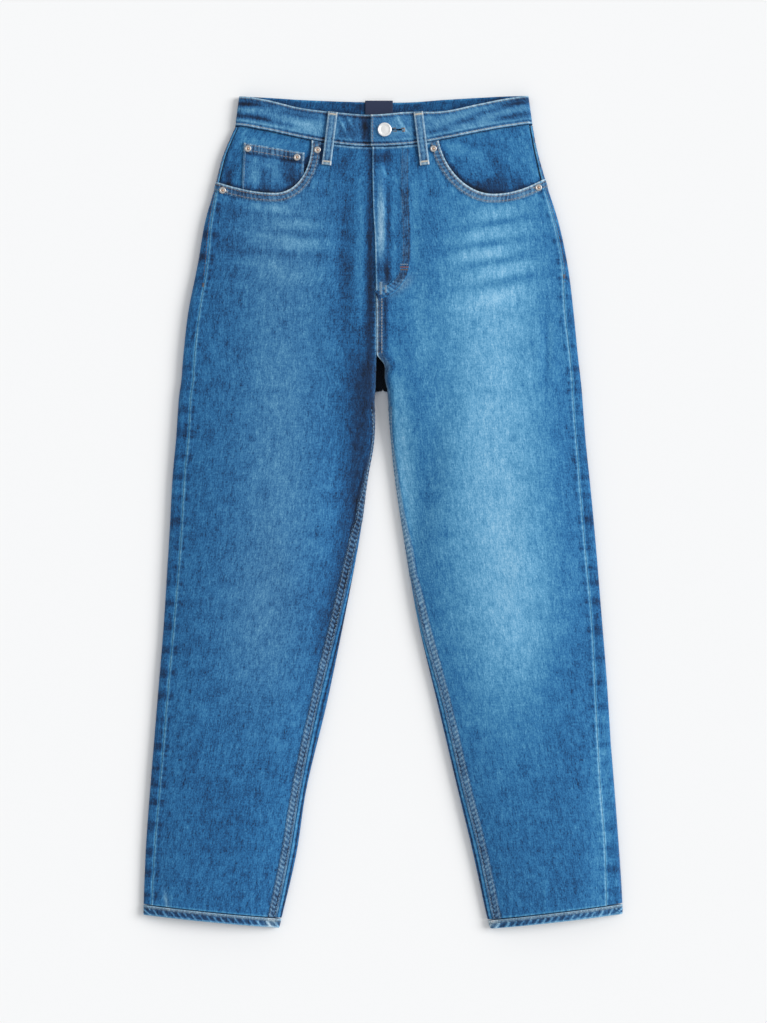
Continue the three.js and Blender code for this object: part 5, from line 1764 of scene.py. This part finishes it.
def fly_stitches():
    for distance in (-3.2, 3.2):
        line = offset_line(smooth_line(J_LINE), distance)
        stitch_row("stitches_fly", "slate", line, ("fly_stitch_band",), radius=0.2)
    stitch_row("stitches_fly", "cream", [(-1.4, 248), (-1.4, 316)], FRONTS)
    stitch_row("stitches_fly", "brown", [(-5.2, 248), (-5.2, 316)], FRONTS)
    for group, thread, x, down, turn, length, width, carriers in BAR_TACKS:
        bar_tack(group, thread, (x, down), turn, length, width, carriers)


def buttonhole_stitches():
    band = ("waistband",)
    for number in range(BUTTONHOLE_COUNT):
        x = BUTTONHOLE_START + BUTTONHOLE_PITCH * number
        for side in (-1, 1):
            start, end = (x, BUTTON_DOWN + side * 0.7), (x + 0.2, BUTTON_DOWN + side * 2.6)
            add_thread("stitches_buttonhole", "brown", start, end, 0.36, TACK_PROUD, band)
    bar_tack("stitches_buttonhole", "tan", (BUTTONHOLE_END, BUTTON_DOWN), 90, 4.4, 2.2, band)


def loop_stitches():
    for name, (top, bottom) in FRONT_LOOPS.items():
        line = np.array([top, bottom], float)
        line[1] += (line[0] - line[1]) * 0.02
        for distance in (-3.6, 3.6):
            stitch_row("stitches_loops", "pale", offset_line(line, distance), (name,))
        turn = math.degrees(math.atan2(line[1][1] - line[0][1], line[1][0] - line[0][0])) + 90
        for f in (0.045, 0.955):
            centre = line[0] * (1 - f) + line[1] * f
            bar_tack("stitches_loops", "cream", centre, turn, LOOP_WIDTH - 3, 2.4, (name,))
    for name, (x0, down0) in BACK_LOOPS.items():
        for x in (x0 - 3.6, x0 + 3.6):
            line = [(x, down0 + 2), (x, down0 + BACK_LOOP_LENGTH - 2)]
            stitch_row("stitches_back", "pale", line, (name,), below=True)


def coin_stitches():
    top_outer, top_inner, bottom_inner, bottom_outer = COIN_CORNERS
    for thread, start, end, distance in (
        ("tan", top_outer, top_inner, 2.0),
        ("tan", top_outer, top_inner, 8.4),
        ("pale", top_outer, bottom_outer, -2.2),
        ("pale", top_inner, bottom_inner, 2.2),
    ):
        line = offset_line(np.stack([start, end]), distance)
        stitch_row("stitches_pockets", thread, line, ("coin_pocket",))


def hem_stitches(half):
    row = rows_at(half, np.array([float(HEM_ROW)]))
    start = np.array([row["out_x"][0], row["out_down"][0] + 2.6])
    end = np.array([row["in_x"][0], row["in_down"][0] + 2.6])
    line = start + (end - start) * np.linspace(0.012, 0.985, 40)[:, None]
    for group, below in (("stitches_hems", False), ("stitches_hems_back", True)):
        stitch_row(group, "brown", line, (f"hem_{half}",), below)


def back_stitches(half):
    side = -INWARD[half]
    x0 = side * POCKET_CENTRE_X
    pocket = (f"back_pocket_{half}",)
    for inset in (2.4, 8.4):
        w, base = POCKET_WIDTH / 2 - inset, POCKET_BASE_WIDTH / 2 - inset
        line = [
            (x0 - w, POCKET_TOP + 2),
            (x0 - base, POCKET_TOP + POCKET_SIDE - inset * 0.8),
            (x0, POCKET_TOP + POCKET_POINT - inset * 1.1),
            (x0 + base, POCKET_TOP + POCKET_SIDE - inset * 0.8),
            (x0 + w, POCKET_TOP + 2),
        ]
        stitch_row("stitches_back", "tan", line, pocket, below=True)
    mouth = POCKET_TOP + 12
    line = [(x0 - POCKET_WIDTH / 2 + 2, mouth), (x0 + POCKET_WIDTH / 2 - 2, mouth)]
    stitch_row("stitches_back", "tan", line, pocket, below=True)
    row = rows_at(half, np.array([float(YOKE_ROW)]))
    for distance in (2.6, 8.6):
        outer = (row["out_x"][0] - side * 8, row["out_down"][0] - distance)
        line = [(side * 3, row["back_down"][0] - distance), outer]
        stitch_row("stitches_back", "tan", line, (f"yoke_{half}",), below=True)


front_stitches()
waistband_stitches()
fly_stitches()
buttonhole_stitches()
loop_stitches()
coin_stitches()
for half in HALVES:
    hem_stitches(half)
    back_stitches(half)
for x in (2.2, 8.0):
    stitch_row("stitches_back", "tan", [(x, 50), (x, 344)], ("yoke_left", "back_left"), below=True)
for (group, thread), stitches in threads.items():
    thread_object(group, thread, stitches)

# Camera and light

SENSOR_MM = 36
CAMERA_HEIGHT, TOP_FACE_HEIGHT = 4.0, 0.018
PHOTO_WIDTH_PX, PHOTO_HEIGHT_PX = 767, 1023
MM_PER_PX = 1.22
ZERO_X_PX, ZERO_DOWN_PX = 383, 94.4
camera_data = bpy.data.cameras.new("camera")
camera = bpy.data.objects.new("camera", camera_data)
camera_data.type = "PERSP"
camera_data.sensor_width = SENSOR_MM
camera_data.sensor_fit = "HORIZONTAL"
camera_data.lens = SENSOR_MM * (CAMERA_HEIGHT - TOP_FACE_HEIGHT) / (PHOTO_WIDTH_PX * MM_PER_PX * MM)
centre_x = (PHOTO_WIDTH_PX / 2 - ZERO_X_PX) * MM_PER_PX
centre_down = (PHOTO_HEIGHT_PX / 2 - ZERO_DOWN_PX) * MM_PER_PX
camera.location = (centre_x * MM, (CENTRE_DOWN - centre_down) * MM, CAMERA_HEIGHT)
bpy.context.scene.collection.objects.link(camera)
bpy.context.scene.camera = camera

FLOOR_HALF = 3.0
floor_mesh = bpy.data.meshes.new("floor")
corners = [(x * FLOOR_HALF, y * FLOOR_HALF, 0) for x, y in ((-1, -1), (1, -1), (1, 1), (-1, 1))]
floor_mesh.from_pydata(corners, [], [(0, 1, 2, 3)])
floor_mesh.materials.append(plain_material("floor_pale", (0.88, 0.88, 0.88), roughness=1.0))
floor = bpy.data.objects.new("floor", floor_mesh)
bpy.context.scene.collection.objects.link(floor)

world = bpy.data.worlds.new("pale_room")
world.use_nodes = True
background = world.node_tree.nodes["Background"]
background.inputs["Color"].default_value = (0.97, 0.985, 1.0, 1)
background.inputs["Strength"].default_value = 0.64
bpy.context.scene.world = world

sun_light = bpy.data.lights.new("key_light", "SUN")
sun_light.energy = 2.5
sun_light.angle = math.radians(32)
sun = bpy.data.objects.new("key_light", sun_light)
sun.rotation_euler = Vector((-0.80, -0.2, -0.55)).to_track_quat("-Z", "Y").to_euler()
bpy.context.scene.collection.objects.link(sun)
bpy.context.scene.view_settings.view_transform = "Standard"
